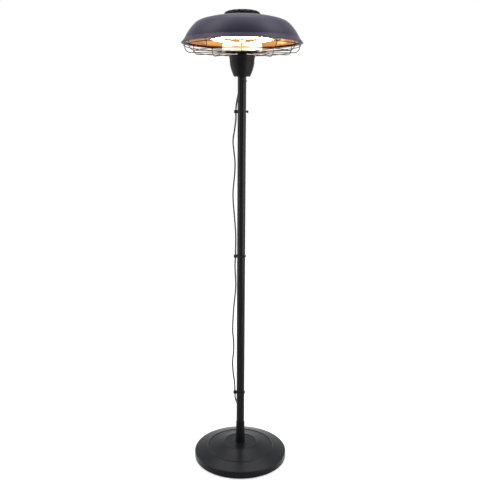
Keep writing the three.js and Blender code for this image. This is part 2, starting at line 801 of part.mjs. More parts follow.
function buildDrum() {
  const disc = [
    [spineRadius, drumBottomZ],
    [drumRadius - sheet - gap, drumBottomZ],
    [drumRadius - sheet - gap, drumBottomZ + plateSheet],
    [spineRadius, drumBottomZ + plateSheet],
  ];
  piece(head, 'drum_plate', turnedRing(disc, facets.drum), brightSheet);
  const can = [
    [drumRadius - sheet, drumBottomZ],
    [drumRadius, drumBottomZ],
    [drumRadius, drumTopZ],
    [tubeBore, drumTopZ],
    [tubeBore, drumTopZ - sheet],
    [drumRadius - sheet, drumTopZ - sheet],
  ];
  piece(head, 'lamp_drum', turnedRing(can, facets.drum), brightSheet);

  const reflectorSeatZ = valueAt(reflectorInside, tubeFlangeRadius) - gap;
  const shoulderZ = valueAt(hoodInside, tubeRadius) - gap;
  const tipZ = crownTopZ;
  const boltBore = capBoltRadius + gap;
  const outline = [
    [tubeBore, drumTopZ + gap],
    [tubeFootRadius, drumTopZ + gap],
    [tubeFootRadius, drumTopZ + gap + tubeFlangeHeight],
    [tubeRadius, drumTopZ + gap + tubeFlangeHeight],
    [tubeRadius, reflectorSeatZ - tubeFlangeHeight],
    [tubeFlangeRadius, reflectorSeatZ - tubeFlangeHeight],
    [tubeFlangeRadius, reflectorSeatZ],
    [tubeRadius, reflectorSeatZ],
    [tubeRadius, shoulderZ],
    [tubeTipRadius, shoulderZ],
    [tubeTipRadius, tipZ],
    [boltBore, tipZ],
    [boltBore, tipZ - capBoltLength / 2],
    [tubeBore, tipZ - capBoltLength / 2 - tubeBore],
  ];
  piece(head, 'centre_tube', turnedRing(outline, facets.tube), brightSheet);
}

function buildLamps() {
  const half = lampLength / 2;
  const outline = [
    [0, -half],
    [lampCapRadius, -half],
    [lampCapRadius, -half + lampCapLength],
    [lampTubeRadius, -half + lampCapLength],
    [lampTubeRadius, half - lampCapLength],
    [lampCapRadius, half - lampCapLength],
    [lampCapRadius, half],
    [0, half],
  ];
  // A holder takes the ends of two lamps. Its frame has +X towards the corner of the triangle.
  const corner = lampDistance / Math.cos(Math.PI / lampCount);
  const endToCorner = lampDistance * Math.tan(Math.PI / lampCount) - half;
  const lean = Math.PI / 2 - Math.PI / lampCount;
  const arm = (sign) => {
    const toLampEnd = endToCorner - gap - holderLength / 2;
    const block = box([holderLength, holderWidth, holderHeight], [-toLampEnd, 0, 0]);
    return block.rotateZ(sign * lean).translate(corner, 0, 0);
  };
  const armEnd = corner - (endToCorner - gap - holderLength) * Math.cos(lean);
  const blockX = armEnd - holderWidth / 2;
  const bridge = box([holderWidth, 2 * holderWidth, holderHeight], [blockX, 0, 0]);
  const holder = join(arm(1), arm(-1), bridge);

  // A bracket hangs from the reflector and ends in a foot on the holder.
  const footZ = holderHeight / 2 + gap;
  const tall = crownTopZ - lampZ;
  const web = box(
    [bracketThickness, bracketWidth, tall], [blockX, 0, footZ + tall / 2],
  );
  const room = domeOutline(reflectorOffset + sheet + gap, rimZ, tubeHole);
  const inside = turnedBody([[0, rimZ], ...room, [0, room.at(-1)[1]]], facets.dish);
  const foot = box(
    [holderWidth, bracketWidth, bracketThickness], [blockX, 0, footZ + bracketThickness / 2],
  );
  const bracket = common(join(web, foot).translate(0, 0, lampZ), inside);

  const names = ['front', 'right', 'left'];
  const corners = ['right', 'rear', 'left'];
  for (let i = 0; i < lampCount; i += 1) {
    const turn = (2 * Math.PI * i) / lampCount;
    const lamp = turnedBody(outline, facets.screw).rotateY(Math.PI / 2).translate(0, -lampDistance, 0);
    piece(head, `lamp_${names[i]}`, lamp.rotateZ(turn), lampGlass, lampZ);
    const cornerTurn = turn - Math.PI / 2 + Math.PI / lampCount;
    const block = holder.clone().rotateZ(cornerTurn);
    piece(head, `lamp_holder_${corners[i]}`, block, ceramic, lampZ);
    piece(head, `lamp_bracket_${corners[i]}`, bracket.clone().rotateZ(cornerTurn), zinc);
  }
}

// ---------------------------------------------------------------- guard

function buildGuard() {
  const crossing = 2 * wireRadius + gap;
  const spokeZ = rimZ - guardDrop;
  const bendX = guardRadius - guardBend;
  const spoke = [new THREE.Vector3(stemRadius + 2 * gap, 0, spokeZ)];
  const bendSteps = 3;
  for (let i = 0; i <= bendSteps; i += 1) {
    const angle = (Math.PI / 2) * (i / bendSteps);
    const x = bendX + guardBend * Math.sin(angle);
    spoke.push(new THREE.Vector3(x, 0, spokeZ + guardBend * (1 - Math.cos(angle))));
  }
  spoke.push(new THREE.Vector3(guardRadius, 0, rimZ - gap));
  const spokes = [0, ...spokeAngles, 180, ...spokeAngles.map((angle) => 360 - angle).reverse()];
  spokes.forEach((angle, i) => {
    const wire = sweep(spoke, wireRadius, 6).rotateZ(degrees(angle + guardTurn - 90));
    piece(guard, `guard_spoke_${i}`, wire, bronzeWire);
  });
  // the flats of a ring's facets clear the spokes
  const ring = (name, radius, z, steps) => {
    const cornerRadius = radius / Math.cos(Math.PI / steps);
    const wire = closed(new THREE.TorusGeometry(cornerRadius, wireRadius, 6, steps));
    piece(guard, name, wire, bronzeWire, z);
  };
  ring('guard_ring_outer', guardRadius + crossing, rimZ - outerRingDrop, facets.ring);
  ring('guard_ring_middle', guardRadius - middleRingInset, spokeZ + crossing, facets.ring);
  ring('guard_ring_inner', innerRingRadius, spokeZ - crossing, facets.smallRing);
}

// ---------------------------------------------------------------- power cord

// The hank stands on the hub of the base behind the socket. Its turns lie in planes along the pole,
// four layers side by side, and each climb to the next layer is along the run by the pole.
const hankOuterFold = hankFoldRadius + hankStep;
const hankLastFold = hankOuterFold + hankStep / 4;
const hankFrontY = poleHole + socketWall + socketTaper + cordRadius + 1;
const hankY = hankFrontY + hankOuterFold;
const hankFoldZ = hubTopZ + gap + cordRadius + hankLastFold;
const hankTopZ = hankFoldZ + hankRun;
const hankStartZ = hankTopZ + 2 * cordRadius; // one diameter straight before the first run
const hankFirstX = -((hankTurns - 1) * hankLayerPitch) / 2;

// Points along the hank: each turn is the front run down, a fold, the back run up and a fold.
function hankPoints() {
  const runSteps = 6;
  const foldSteps = 6;
  const fold = Math.PI * (hankFoldRadius + hankStep / 2);
  const turnLength = 2 * (hankRun + fold);
  const middle = hankRun / 2;
  const lead = new THREE.Vector3(hankFirstX, hankFrontY, hankStartZ);
  const points = [lead];
  const place = (distance, y, z) => {
    const s = (distance - middle) / turnLength;
    const inTurn = Math.min(Math.max(s, 0), hankTurns);
    const wave = Math.abs(((inTurn + 1) % 2) - 1);
    const beyond = Math.max(s - hankTurns, 0);
    const radius = hankFoldRadius + hankStep * (1 - wave + beyond);
    const whole = Math.min(Math.max(Math.round(s), 0), hankTurns);
    const along = THREE.MathUtils.clamp(((s - whole) * turnLength) / hankRun, -0.5, 0.5);
    const climb = whole > 0 && whole < hankTurns ? 0.5 - 0.5 * Math.cos(Math.PI * (along + 0.5)) : 0;
    let layer = Math.min(Math.max(Math.floor(s), 0), hankTurns - 1);
    if (whole > 0 && whole < hankTurns && Math.abs(s - whole) * turnLength < middle + 1e-6) {
      layer = whole - 1 + climb;
    }
    const x = hankFirstX + layer * hankLayerPitch;
    points.push(new THREE.Vector3(x, hankY + y(radius), z(radius)));
  };
  const drawn = (u) => (hankWaistDraw / 2) * (1 - Math.cos(2 * Math.PI * u));
  let start = 0;
  const run = (down, steps) => {
    for (let i = 0; i < steps; i += 1) {
      const u = i / runSteps;
      const sign = down ? -1 : 1;
      const z = down ? hankTopZ - u * hankRun : hankFoldZ + u * hankRun;
      place(start + u * hankRun, (radius) => sign * (radius - drawn(u)), () => z);
    }
    start += hankRun;
  };
  const turn = (down, steps) => {
    for (let i = 0; i < steps; i += 1) {
      const angle = (Math.PI * i) / foldSteps;
      const sign = down ? -1 : 1;
      const z = down ? hankFoldZ : hankTopZ;
      place(
        start + (fold * i) / foldSteps,
        (radius) => sign * radius * Math.cos(angle),
        (radius) => z + sign * radius * Math.sin(angle),
      );
    }
    start += fold;
  };
  for (let i = 0; i < hankTurns; i += 1) {
    run(true, runSteps);
    turn(true, foldSteps);
    run(false, runSteps);
    turn(false, foldSteps);
  }
  run(true, runSteps);
  turn(true, foldSteps / 2);
  // the tail leaves the lowest point of the last fold and rises to the plug's axis
  const from = new THREE.Vector3(-hankFirstX, hankY, hankFoldZ - hankLastFold);
  const to = plugEntry();
  const out = new THREE.Vector3(0, 1, 0);
  const into = plugDirection();
  const beforeEnd = to.clone().addScaledVector(into, -2 * cordRadius);
  const tail = new THREE.CubicBezierCurve3(
    from,
    from.clone().addScaledVector(out, hankTailLift),
    beforeEnd.clone().addScaledVector(into, -hankTailRun),
    beforeEnd,
  );
  points.push(...tail.getPoints(6), to);
  return points;
}

// The plug lies on the cone between the hub and the step, in line with the hank.
const coneDrop = hubTopZ - hubStep - stepTopZ;
const coneAngle = Math.atan2(coneDrop, stepRadius - stepHeight - hubRadius);

function plugDirection() {
  return new THREE.Vector3(0, Math.cos(coneAngle), -Math.sin(coneAngle));
}

function plugEntry() {
  const y = hankY + hankTail;
  const coneZ = hubTopZ - hubStep - (y - hubRadius) * Math.tan(coneAngle);
  return new THREE.Vector3(0, y, coneZ + (plugRadius + gap) / Math.cos(coneAngle));
}

// The least distance between stretches of a tube that lie apart along it, less its diameter.
function leastSelfGap(points, radius) {
  const curve = new THREE.CurvePath();
  for (let i = 1; i < points.length; i += 1) {
    curve.add(new THREE.LineCurve3(points[i - 1], points[i]));
  }
  const length = curve.getLength();
  const count = Math.round(length / 2);
  const samples = curve.getSpacedPoints(count);
  const apart = Math.ceil((5 * radius * Math.PI) / (length / count));
  let least = Infinity;
  for (let i = 0; i < samples.length; i += 1) {
    for (let k = i + apart; k < samples.length; k += 1) {
      least = Math.min(least, samples[i].distanceTo(samples[k]));
    }
  }
  return { length, least: least - 2 * radius };
}

function buildCord() {
  const glandX = glandOffset * Math.cos(degrees(glandAngle));
  const glandY = glandOffset * Math.sin(degrees(glandAngle));
  const exitZ = neckBottomZ - gap - glandLength - gap;
  const meetZ = hankStartZ + gap;
  // Chosen by eye along the left of the pole: x, y, z of the cord's axis
  const route = [
    [glandX, glandY, exitZ],
    [glandX, glandY, exitZ - cordExit],
    [-14.5, 21.6, 1745],
    [-20.3, 14.4, 1715],
    [-25, 5, 1685],
    [-clipCordOffset, 0, 1659],
    [-26, 0, 1630],
    [-32, 0, 1580],
    [-38.5, 0, 1533],
    [-35, 1, 1488],
    [-29.8, 2, 1438],
    [-30.5, 2, 1390],
    [-34, 1, 1350],
    [-38.2, 0, 1300],
    [-37, 0, 1255],
    [-32.5, 2, 1200],
    [-28.5, 5, 1150],
    [-25.5, 6, 1100],
    [-25.5, 4, 1055],
    [-clipCordOffset, 0, 1003],
    [-28, 1, 955],
    [-26, 5, 905],
    [-24.5, 6, 858],
    [-28.5, 3, 805],
    [-34, 0, 750],
    [-37, 0, 695],
    [-38.6, 0, 641],
    [-34, 1, 590],
    [-33.5, 1, 540],
    [-38.6, 0, 485],
    [-36, 0, 435],
    [-29, 1, 380],
    [-clipCordOffset, 0, 328],
    [-25.5, 5, 300],
    [-20.5, 15.5, 275],
    [-14.5, hankFrontY - 2.5, 252],
    [hankFirstX, hankFrontY, meetZ + cordMeet],
    [hankFirstX, hankFrontY, meetZ],
  ].map((p) => new THREE.Vector3(...p));
  const curve = new THREE.CatmullRomCurve3(route, false, 'centripetal');
  piece(cord, 'power_cord', tube(curve, cordRadius, 8, 82), rubber);

  const wound = hankPoints();
  piece(cord, 'cord_hank', sweep(wound, cordRadius, 6), rubber);
  const { length, least } = leastSelfGap(wound, cordRadius);
  console.log(`hank: ${length.toFixed(0)} mm long, least gap to itself ${least.toFixed(2)} mm`);
  console.log(`free stretch: ${curve.getLength().toFixed(0)} mm long`);

  const halfX = -hankFirstX + cordRadius + tieRoom;
  const frontY = hankY - (hankOuterFold - hankWaistDraw) - cordRadius - tieRoom;
  const backFold = hankFoldRadius + hankStep / 2;
  const backY = hankY + backFold - hankWaistDraw + cordRadius + tieRoom;
  const band = (grow) => roundedRectangle(
    -halfX - grow, frontY - grow, halfX + grow, backY + grow, cordRadius + tieRoom + grow,
  );
  const outline = band(tieThickness);
  outline.holes.push(band(0));
  const tie = new THREE.ExtrudeGeometry(outline, {
    depth: tieHeight, bevelEnabled: false, curveSegments: 3,
  });
  const tieZ = hankFoldZ + (hankRun - tieHeight) / 2;
  piece(cord, 'cord_tie', closed(tie), rubber, tieZ);
}

function roundedRectangle(x0, y0, x1, y1, radius) {
  const shape = new THREE.Shape();
  shape.moveTo(x0 + radius, y0);
  shape.lineTo(x1 - radius, y0);
  shape.absarc(x1 - radius, y0 + radius, radius, -Math.PI / 2, 0, false);
  shape.lineTo(x1, y1 - radius);
  shape.absarc(x1 - radius, y1 - radius, radius, 0, Math.PI / 2, false);
  shape.lineTo(x0 + radius, y1);
  shape.absarc(x0 + radius, y1 - radius, radius, Math.PI / 2, Math.PI, false);
  shape.lineTo(x0, y0 + radius);
  shape.absarc(x0 + radius, y0 + radius, radius, Math.PI, 1.5 * Math.PI, false);
  return shape;
}

function buildPlug() {
  const body = turnedBody([
    [0, 0],
    [plugSleeveTip, 0],
    [plugSleeveRoot, plugSleeve],
    [plugShoulderRadius, plugSleeve + plugShoulderRise],
    [plugRadius, plugSleeve + plugShoulderLength],
    [plugRadius, plugSleeve + plugLength],
    [0, plugSleeve + plugLength],
  ], facets.knob);
  const pin = (x) =>
    post(pinRadius, pinLength + past, plugSleeve + plugLength - past, 8).translate(x, 0, 0);
  const plug = join(body, pin(-pinSpacing / 2), pin(pinSpacing / 2));
  plug.translate(0, 0, gap).rotateX(-Math.PI / 2 - coneAngle);
  const entry = plugEntry();
  piece(cord, 'power_plug', plug.translate(entry.x, entry.y, entry.z), blackPlastic);
}

buildBase();
buildPole();
buildClips();
buildSpigot();
buildNeck();
buildDrum();
buildHood();
buildCap();
buildLamps();
buildGuard();
buildCord();
buildPlug();

export default heater;
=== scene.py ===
"""Looks of a standing infrared patio heater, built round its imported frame.

Shapes are worked out in millimetres, from the boxes of the frame's nodes and a few sizes of their own,
and turned to metres where a mesh is made. The front of the heater looks towards -Y.
"""

import math

import bmesh
import bpy
from bpy.props import FloatProperty, FloatVectorProperty, IntProperty, PointerProperty
from mathutils import Matrix, Vector


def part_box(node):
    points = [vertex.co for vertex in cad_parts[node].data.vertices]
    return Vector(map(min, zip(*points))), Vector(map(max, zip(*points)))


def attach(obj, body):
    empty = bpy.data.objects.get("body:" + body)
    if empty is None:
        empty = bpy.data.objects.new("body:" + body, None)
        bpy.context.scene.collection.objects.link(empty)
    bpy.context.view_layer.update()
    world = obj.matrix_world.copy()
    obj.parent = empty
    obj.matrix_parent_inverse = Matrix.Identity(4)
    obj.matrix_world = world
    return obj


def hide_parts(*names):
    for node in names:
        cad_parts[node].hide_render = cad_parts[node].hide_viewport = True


bl_info = {
    "name": "Patio heater tower",
    "version": (1, 0, 0),
    "blender": (4, 5, 0),
    "location": "3D View > Sidebar > Heater",
    "description": "Dresses the frame of a standing infrared patio heater",
    "category": "Object",
}

MM = 0.001
GAP = 0.3  # between seated pieces, in mm, as in the frame

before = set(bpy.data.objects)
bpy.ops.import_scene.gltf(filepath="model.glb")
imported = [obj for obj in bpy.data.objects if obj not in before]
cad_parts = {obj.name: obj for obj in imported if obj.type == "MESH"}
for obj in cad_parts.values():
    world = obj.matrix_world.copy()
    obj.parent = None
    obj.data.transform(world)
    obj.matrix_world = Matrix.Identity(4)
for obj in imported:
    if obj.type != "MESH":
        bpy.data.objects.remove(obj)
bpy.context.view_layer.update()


# ------------------------------------------------------------ colours and nodes

TONE_COARSER = 25  # how much coarser than the grain a finish's slow changes of tone are


def linear(hex_colour):
    """The linear colour, with alpha 1, of an sRGB hex value such as "#3a3b3f"."""
    parts = [int(hex_colour[i : i + 2], 16) / 255 for i in (1, 3, 5)]
    return (*((p / 12.92 if p <= 0.04045 else ((p + 0.055) / 1.055) ** 2.4) for p in parts), 1.0)


def add(tree, kind, inputs=None, **settings):
    """Adds a node. Settings are its attributes; inputs are values or the sockets to link from."""
    node = tree.nodes.new(kind)
    for key, value in settings.items():
        setattr(node, key, value)
    for key, value in (inputs or {}).items():
        if isinstance(value, bpy.types.NodeSocket):
            tree.links.new(value, node.inputs[key])
        else:
            node.inputs[key].default_value = value
    return node


def ramp(tree, factor, stops):
    """A colour ramp from (position, colour) stops."""
    node = add(tree, "ShaderNodeValToRGB", {"Fac": factor})
    elements = node.color_ramp.elements
    while len(elements) < len(stops):
        elements.new(0.5)
    for element, (position, colour) in zip(elements, stops):
        element.position, element.color = position, colour
    return node.outputs["Color"]


def shades(tree, factor, colour, spread):
    """Colours a little darker and a little lighter than the given one."""
    low, high = ([c * k for c in colour[:3]] + [1] for k in (1 - spread, 1 + spread))
    return ramp(tree, factor, [(0.3, low), (0.7, high)])


def new_surface(name, **sockets):
    """A material and its surface node, with values for sockets whose names have underscores here."""
    material = bpy.data.materials.new(name)
    material.use_nodes = True
    surface = material.node_tree.nodes["Principled BSDF"]
    for socket, value in sockets.items():
        surface.inputs[socket.replace("_", " ")].default_value = value
    return material, surface


def glowing(name, colour, strength, **sockets):
    """A surface that gives light."""
    return new_surface(
        name, Base_Color=colour, Emission_Color=colour, Emission_Strength=strength, **sockets
    )[0]


def finish_material(name, colour, roughness, metallic=0.0, grain_mm=3.0, bump_mm=0.05,
                    spread=0.08, roughness_spread=0.06, stretch=(1, 1, 1), cells=False, middle=None,
                    **sockets):
    """A painted, moulded or metal surface with its grain, in the piece's own coordinates.

    With middle=(colour, near, far) that colour is painted light near the heater's axis, a glow that goes
    over into the base colour by the far radius.
    """
    material, surface = new_surface(name, Metallic=metallic, **sockets)
    tree = material.node_tree
    place = add(tree, "ShaderNodeTexCoord").outputs["Object"]
    place = add(tree, "ShaderNodeMapping", {"Vector": place, "Scale": stretch}).outputs["Vector"]
    scale = 1 / (grain_mm * MM)
    if cells:
        grain = add(tree, "ShaderNodeTexVoronoi", {"Vector": place, "Scale": scale}).outputs["Distance"]
    else:
        grain = add(
            tree, "ShaderNodeTexNoise", {"Vector": place, "Scale": scale, "Detail": 3.0}
        ).outputs["Fac"]
    broad = add(tree, "ShaderNodeTexNoise", {"Vector": place, "Scale": scale / TONE_COARSER})
    tone = shades(tree, broad.outputs["Fac"], colour, spread)
    # A paler middle: the lamps' light painted onto the surface near the heater's axis
    if middle:
        inner, near, far = middle
        flat = add(tree, "ShaderNodeMapping", {"Vector": place, "Scale": (1, 1, 0)}).outputs["Vector"]
        radius = add(tree, "ShaderNodeVectorMath", {0: flat}, operation="LENGTH").outputs["Value"]
        painted_glow_falloff = add(
            tree, "ShaderNodeMapRange", {"Value": radius, "From Min": near, "From Max": far}
        ).outputs["Result"]
        tone = add(tree, "ShaderNodeMix", {0: painted_glow_falloff, 6: inner, 7: tone}, data_type="RGBA").outputs[2]
    tree.links.new(tone, surface.inputs["Base Color"])
    rough = add(tree, "ShaderNodeMapRange", {
        "Value": grain, "To Min": roughness - roughness_spread, "To Max": roughness + roughness_spread,
    }).outputs["Result"]
    tree.links.new(rough, surface.inputs["Roughness"])
    bump = add(tree, "ShaderNodeBump", {"Height": grain, "Strength": 1.0, "Distance": bump_mm * MM})
    tree.links.new(bump.outputs["Normal"], surface.inputs["Normal"])
    return material


def make_finishes(look):
    """Every finish of the heater, by a short name."""
    return {
        # Powder-coated steel: a soft sheen with a fine orange peel, drawn a little coarse
        "hood": finish_material(
            "powder_coated_steel", look.hood_colour, 0.42, grain_mm=2.2, bump_mm=0.03, IOR=1.45,
            Specular_IOR_Level=0.15,
        ),
        # Enamelled steel tube: smooth satin black, with faint lines along the tube
        "pole": finish_material(
            "enamelled_steel_tube", linear("#141417"), 0.3, grain_mm=2.5, bump_mm=0.01,
            stretch=(1, 1, 0.05), IOR=1.4, Specular_IOR_Level=0.2,
        ),
        # Polypropylene cover with a spark-eroded grain, which scatters the light
        "base": finish_material(
            "grained_polypropylene", look.base_colour, 0.27, grain_mm=1.6, bump_mm=0.05, IOR=1.45,
            Specular_IOR_Level=0.13,
        ),
        # ABS moulding: smoother than the cover, so it shows soft reflections
        "abs": finish_material(
            "moulded_black_abs", linear("#151417"), 0.42, grain_mm=1.8, bump_mm=0.015, IOR=1.46,
            Specular_IOR_Level=0.1,
        ),
        # Nylon: slightly waxy
        "nylon": finish_material(
            "moulded_black_nylon", linear("#161517"), 0.48, grain_mm=1.5, bump_mm=0.02,
            Specular_IOR_Level=0.2,
        ),
        # Steel wire, plated in a dark bronze tone
        "wire": finish_material(
            "bronze_plated_wire", look.guard_colour, 0.5, 0.3, grain_mm=2.0, bump_mm=0.01,
            Specular_IOR_Level=0.2,
        ),
        # Anodised aluminium with a stucco pattern, which breaks up the lamps' reflections; its paler
        # colour near the axis is the lamps' light painted on
        "copper": finish_material(
            "copper_anodised_aluminium", look.reflector_colour, 0.17, 1.0, grain_mm=7.0,
            bump_mm=0.08, cells=True, roughness_spread=0.04, middle=(linear("#f6cc84"), 0.155, 0.275),
        ),
        # Satin stainless steel: it spreads the lamps' light over the whole drum
        "bright": finish_material(
            "satin_stainless_steel", linear("#f4f1ea"), 0.6, 1.0, grain_mm=6.0, bump_mm=0.01,
            roughness_spread=0.04,
        ),
        # Zinc-plated steel: greyish with a broken, cloudy sheen
        "zinc": finish_material(
            "zinc_plated_steel", linear("#b3b1a9"), 0.36, 1.0, grain_mm=1.2, bump_mm=0.02
        ),
        # Steatite ceramic: unglazed, chalky, faintly speckled
        "ceramic": finish_material(
            "steatite_ceramic", linear("#e8e2d3"), 0.62, grain_mm=0.9, bump_mm=0.03, spread=0.05
        ),
        # Grey cast iron, as sand-cast
        "iron": finish_material(
            "sand_cast_iron", linear("#4b4a4e"), 0.72, 0.7, grain_mm=1.4, bump_mm=0.25
        ),
        # Ethylene rubber of the ring under the base
        "rubber": finish_material(
            "black_rubber", linear("#131313"), 0.82, grain_mm=1.0, bump_mm=0.05
        ),
        # Chloroprene jacket of an outdoor lead: matt with a slight bloom
        "lead": finish_material(
            "chloroprene_jacket", linear("#1a1a1c"), 0.5, grain_mm=1.2, bump_mm=0.02, spread=0.12
        ),
        # Nickel-plated brass of the plug's pins
        "nickel": finish_material(
            "nickel_plated_brass", linear("#cfc9b8"), 0.2, 1.0, grain_mm=1.0, bump_mm=0.005
        ),
        # Woven nylon strap
        "strap": finish_material(
            "woven_nylon_strap", linear("#17171a"), 0.85, grain_mm=1.1, bump_mm=0.2, cells=True
        ),
        # Pad-printed marks
        "print": finish_material(
            "white_pad_print", linear("#d8d8d4"), 0.5, grain_mm=0.8, bump_mm=0.005, spread=0.03
        ),
        # Quartz glass of a lit halogen lamp: bright all over from the filament in it
        "quartz": glowing(
            "lit_quartz_glass", linear("#ffe4b8"), 9.0, Roughness=0.05, Transmission_Weight=0.4,
            IOR=1.458,
        ),
    }


# ------------------------------------------------------------ frame sizes


def low(node):
    """Lowest corner of a node of the frame, in mm."""
    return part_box(node)[0] / MM


def high(node):
    """Highest corner of a node of the frame, in mm."""
    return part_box(node)[1] / MM


def round_size(node):
    """Radius of a round node of the frame, and the heights of its bottom and its top, in mm."""
    return high(node).x, low(node).z, high(node).z


POLE_RADIUS = high("pole_lower").x
SOCKET_WALL = 1.3  # of the socket's mouth
SOCKET_TAPER = 1.9  # how much wider the socket is over its foot than at its mouth
BOLT_HOLE = 5.5
HUB_TOP = high("base_cover").z
HUB_RADIUS = 79.0
HUB_STEP = 2.4  # from the hub's top down to the upper cone
STEP_RADIUS, STEP_Z, STEP_HEIGHT = 158.0, 54.0, 3.5  # the ring between the cover's two cones
SIDE_TOP = 30.0
CONE_ANGLE = math.atan2(HUB_TOP - HUB_STEP - STEP_Z, STEP_RADIUS - STEP_HEIGHT - HUB_RADIUS)


# ------------------------------------------------------------ mesh making

SHARP_FROM = 34  # degrees between two faces, from which their edge stays sharp
BEVEL_FROM = 40  # degrees, from which a softened edge is rounded
TO_FRONT = Matrix.Rotation(math.radians(90), 4, "X")  # turns what points up to the front
TO_BACK = TO_FRONT.inverted()


def angles(count):
    """Even angles round a circle."""
    return [2 * math.pi * k / count for k in range(count)]


def filleted(points, steps=5):
    """A closed outline from (x, y, radius) points, with an arc at each corner that has a radius."""
    outline = []
    for i, (x, y, radius) in enumerate(points):
        corner = Vector((x, y))
        if radius <= 0:
            outline.append(corner)
            continue
        before = Vector(points[i - 1][:2]) - corner
        after = Vector(points[(i + 1) % len(points)][:2]) - corner
        half = before.angle(after) / 2
        if abs(half - math.pi / 2) < 1e-3:
            outline.append(corner)
            continue
        # An arc takes up less than half of each edge, so that it never meets the next one
        reach = min(radius / math.tan(half), 0.49 * before.length, 0.49 * after.length)
        start, end = corner + before.normalized() * reach, corner + after.normalized() * reach
        for k in range(steps + 1):
            t = k / steps
            outline.append(start.lerp(corner, t).lerp(corner.lerp(end, t), t))
    return outline


def outward(bm):
    """Merges doubles and turns the faces of a closed mesh outwards."""
    bmesh.ops.remove_doubles(bm, verts=bm.verts, dist=1e-4)
    bmesh.ops.dissolve_degenerate(bm, edges=bm.edges, dist=1e-5)
    if bm.calc_volume(signed=True) < 0:
        bmesh.ops.reverse_faces(bm, faces=bm.faces)
    return bm


def lofted(rings, closed):
    """A mesh from rings of points, each joined to the next: closed to a loop, or with two ends."""
    bm = bmesh.new()
    rings = [[bm.verts.new(place) for place in ring] for ring in rings]
    for here, there in zip(rings, rings[1:] + rings[:1] if closed else rings[1:]):
        for k in range(len(here)):
            j = (k + 1) % len(here)
            if here[k].co != there[k].co or here[j].co != there[j].co:
                bm.faces.new((here[k], there[k], there[j], here[j]))
    if not closed:
        bm.faces.new(rings[0])
        bm.faces.new(rings[-1])
        bmesh.ops.recalc_face_normals(bm, faces=bm.faces)
    return outward(bm)


def turned(outline, segments, first=0.0, sweep=360.0):
    """Turns a closed outline of (radius, height) points about the vertical axis."""
    whole = sweep >= 360
    rings = []
    for i in range(segments if whole else segments + 1):
        angle = math.radians(first + sweep * i / segments)
        c, s = math.cos(angle), math.sin(angle)
        rings.append([(r * c, r * s, z) for r, z in outline])
    return lofted(rings, closed=whole)


def lathed(points, segments):
    """Turns a closed outline of (radius, height, fillet) points about the vertical axis."""
    return turned(filleted(points), segments)


def band(inner, outer, bottom, top, fillets, segments):
    """A round band, with one fillet for its inner edges and one for its outer edges."""
    inside, outside = fillets
    return lathed([
        (inner, bottom, inside), (outer, bottom, outside), (outer, top, outside), (inner, top, inside),
    ], segments)


def stud(radius, height, foot, head, segments):
    """A round stud that stands on z = 0, with fillets at its foot and at its head."""
    return lathed([(0, 0, 0), (radius, 0, foot), (radius, height, head), (0, height, 0)], segments)


def rib(radius, z, depth, rises, fillet):
    """Outline points of a rib and of the groove after it, at three rises from the rib's start."""
    end, groove_start, groove_end = (z + rise for rise in rises)
    floor = radius - depth
    return [(radius, z, fillet), (radius, end, fillet), (floor, groove_start, 0), (floor, groove_end, 0)]


def swept(points, radius, sides):
    """A round bar through the points, closed at both ends."""
    points = [Vector(p) for p in points]
    side = (points[1] - points[0]).normalized().orthogonal().normalized()
    rings = []
    for i, point in enumerate(points):
        tangent = (points[min(i + 1, len(points) - 1)] - points[max(i - 1, 0)]).normalized()
        side = (side - tangent * side.dot(tangent)).normalized()
        up = tangent.cross(side)
        rings.append([point + radius * (side * math.cos(a) + up * math.sin(a)) for a in angles(sides)])
    return lofted(rings, closed=False)


def extruded(outline, z, height, edge):
    """A flat outline of (x, y) points at z, pulled up by a height, with its rims rounded by edge."""
    bm = bmesh.new()
    face = bm.faces.new([bm.verts.new((x, y, z)) for x, y in outline])
    made = bmesh.ops.extrude_face_region(bm, geom=[face])
    top = [v for v in made["geom"] if isinstance(v, bmesh.types.BMVert)]
    bmesh.ops.translate(bm, verts=top, vec=(0, 0, height))
    bmesh.ops.recalc_face_normals(bm, faces=bm.faces)
    rims = [e for e in bm.edges if abs(e.verts[0].co.z - e.verts[1].co.z) < 1e-6]
    bmesh.ops.bevel(bm, geom=rims, offset=edge, segments=3, profile=0.5, affect="EDGES")
    return outward(bm)


def block(size, centre, edge):
    """A block with rounded edges."""
    bm = bmesh.new()
    bmesh.ops.create_cube(bm, size=1.0)
    bmesh.ops.scale(bm, vec=size, verts=bm.verts)
    bmesh.ops.bevel(bm, geom=list(bm.edges), offset=edge, segments=3, profile=0.5, affect="EDGES")
    bmesh.ops.translate(bm, vec=centre, verts=bm.verts)
    return outward(bm)


def new_mesh(name, bm):
    """A mesh with what is in bm, which is freed."""
    mesh = bpy.data.meshes.new(name)
    bm.to_mesh(mesh)
    bm.free()
    return mesh


def new_object(name, data):
    """An object in the scene for a mesh, a curve, a light or a camera."""
    obj = bpy.data.objects.new(name, data)
    bpy.context.scene.collection.objects.link(obj)
    return obj


def joined(*parts):
    """One mesh of several closed parts, each given as a mesh or as (mesh, matrix)."""
    whole = bmesh.new()
    for part in parts:
        bm, matrix = part if isinstance(part, tuple) else (part, Matrix())
        bm.transform(matrix)
        spare = new_mesh("spare", bm)
        whole.from_mesh(spare)
        bpy.data.meshes.remove(spare)
    return whole


def smooth(mesh):
    """Shades a mesh smooth and keeps its sharp edges."""
    mesh.shade_smooth()
    mesh.set_sharp_from_angle(angle=math.radians(SHARP_FROM))


def piece(name, bm, finish, nodes=(), body="heater"):
    """Makes a piece of the heater from a mesh in mm. It stands for the frame's nodes."""
    bm.transform(Matrix.Scale(MM, 4))
    mesh = new_mesh(name, bm)
    smooth(mesh)
    mesh.materials.append(finish)
    return seated(new_object(name, mesh), nodes, body)


def seated(obj, nodes, body="heater"):
    """Tells the frame what a finished piece rides on and stands for."""
    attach(obj, body)
    if nodes:
        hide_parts(*nodes)
    return obj


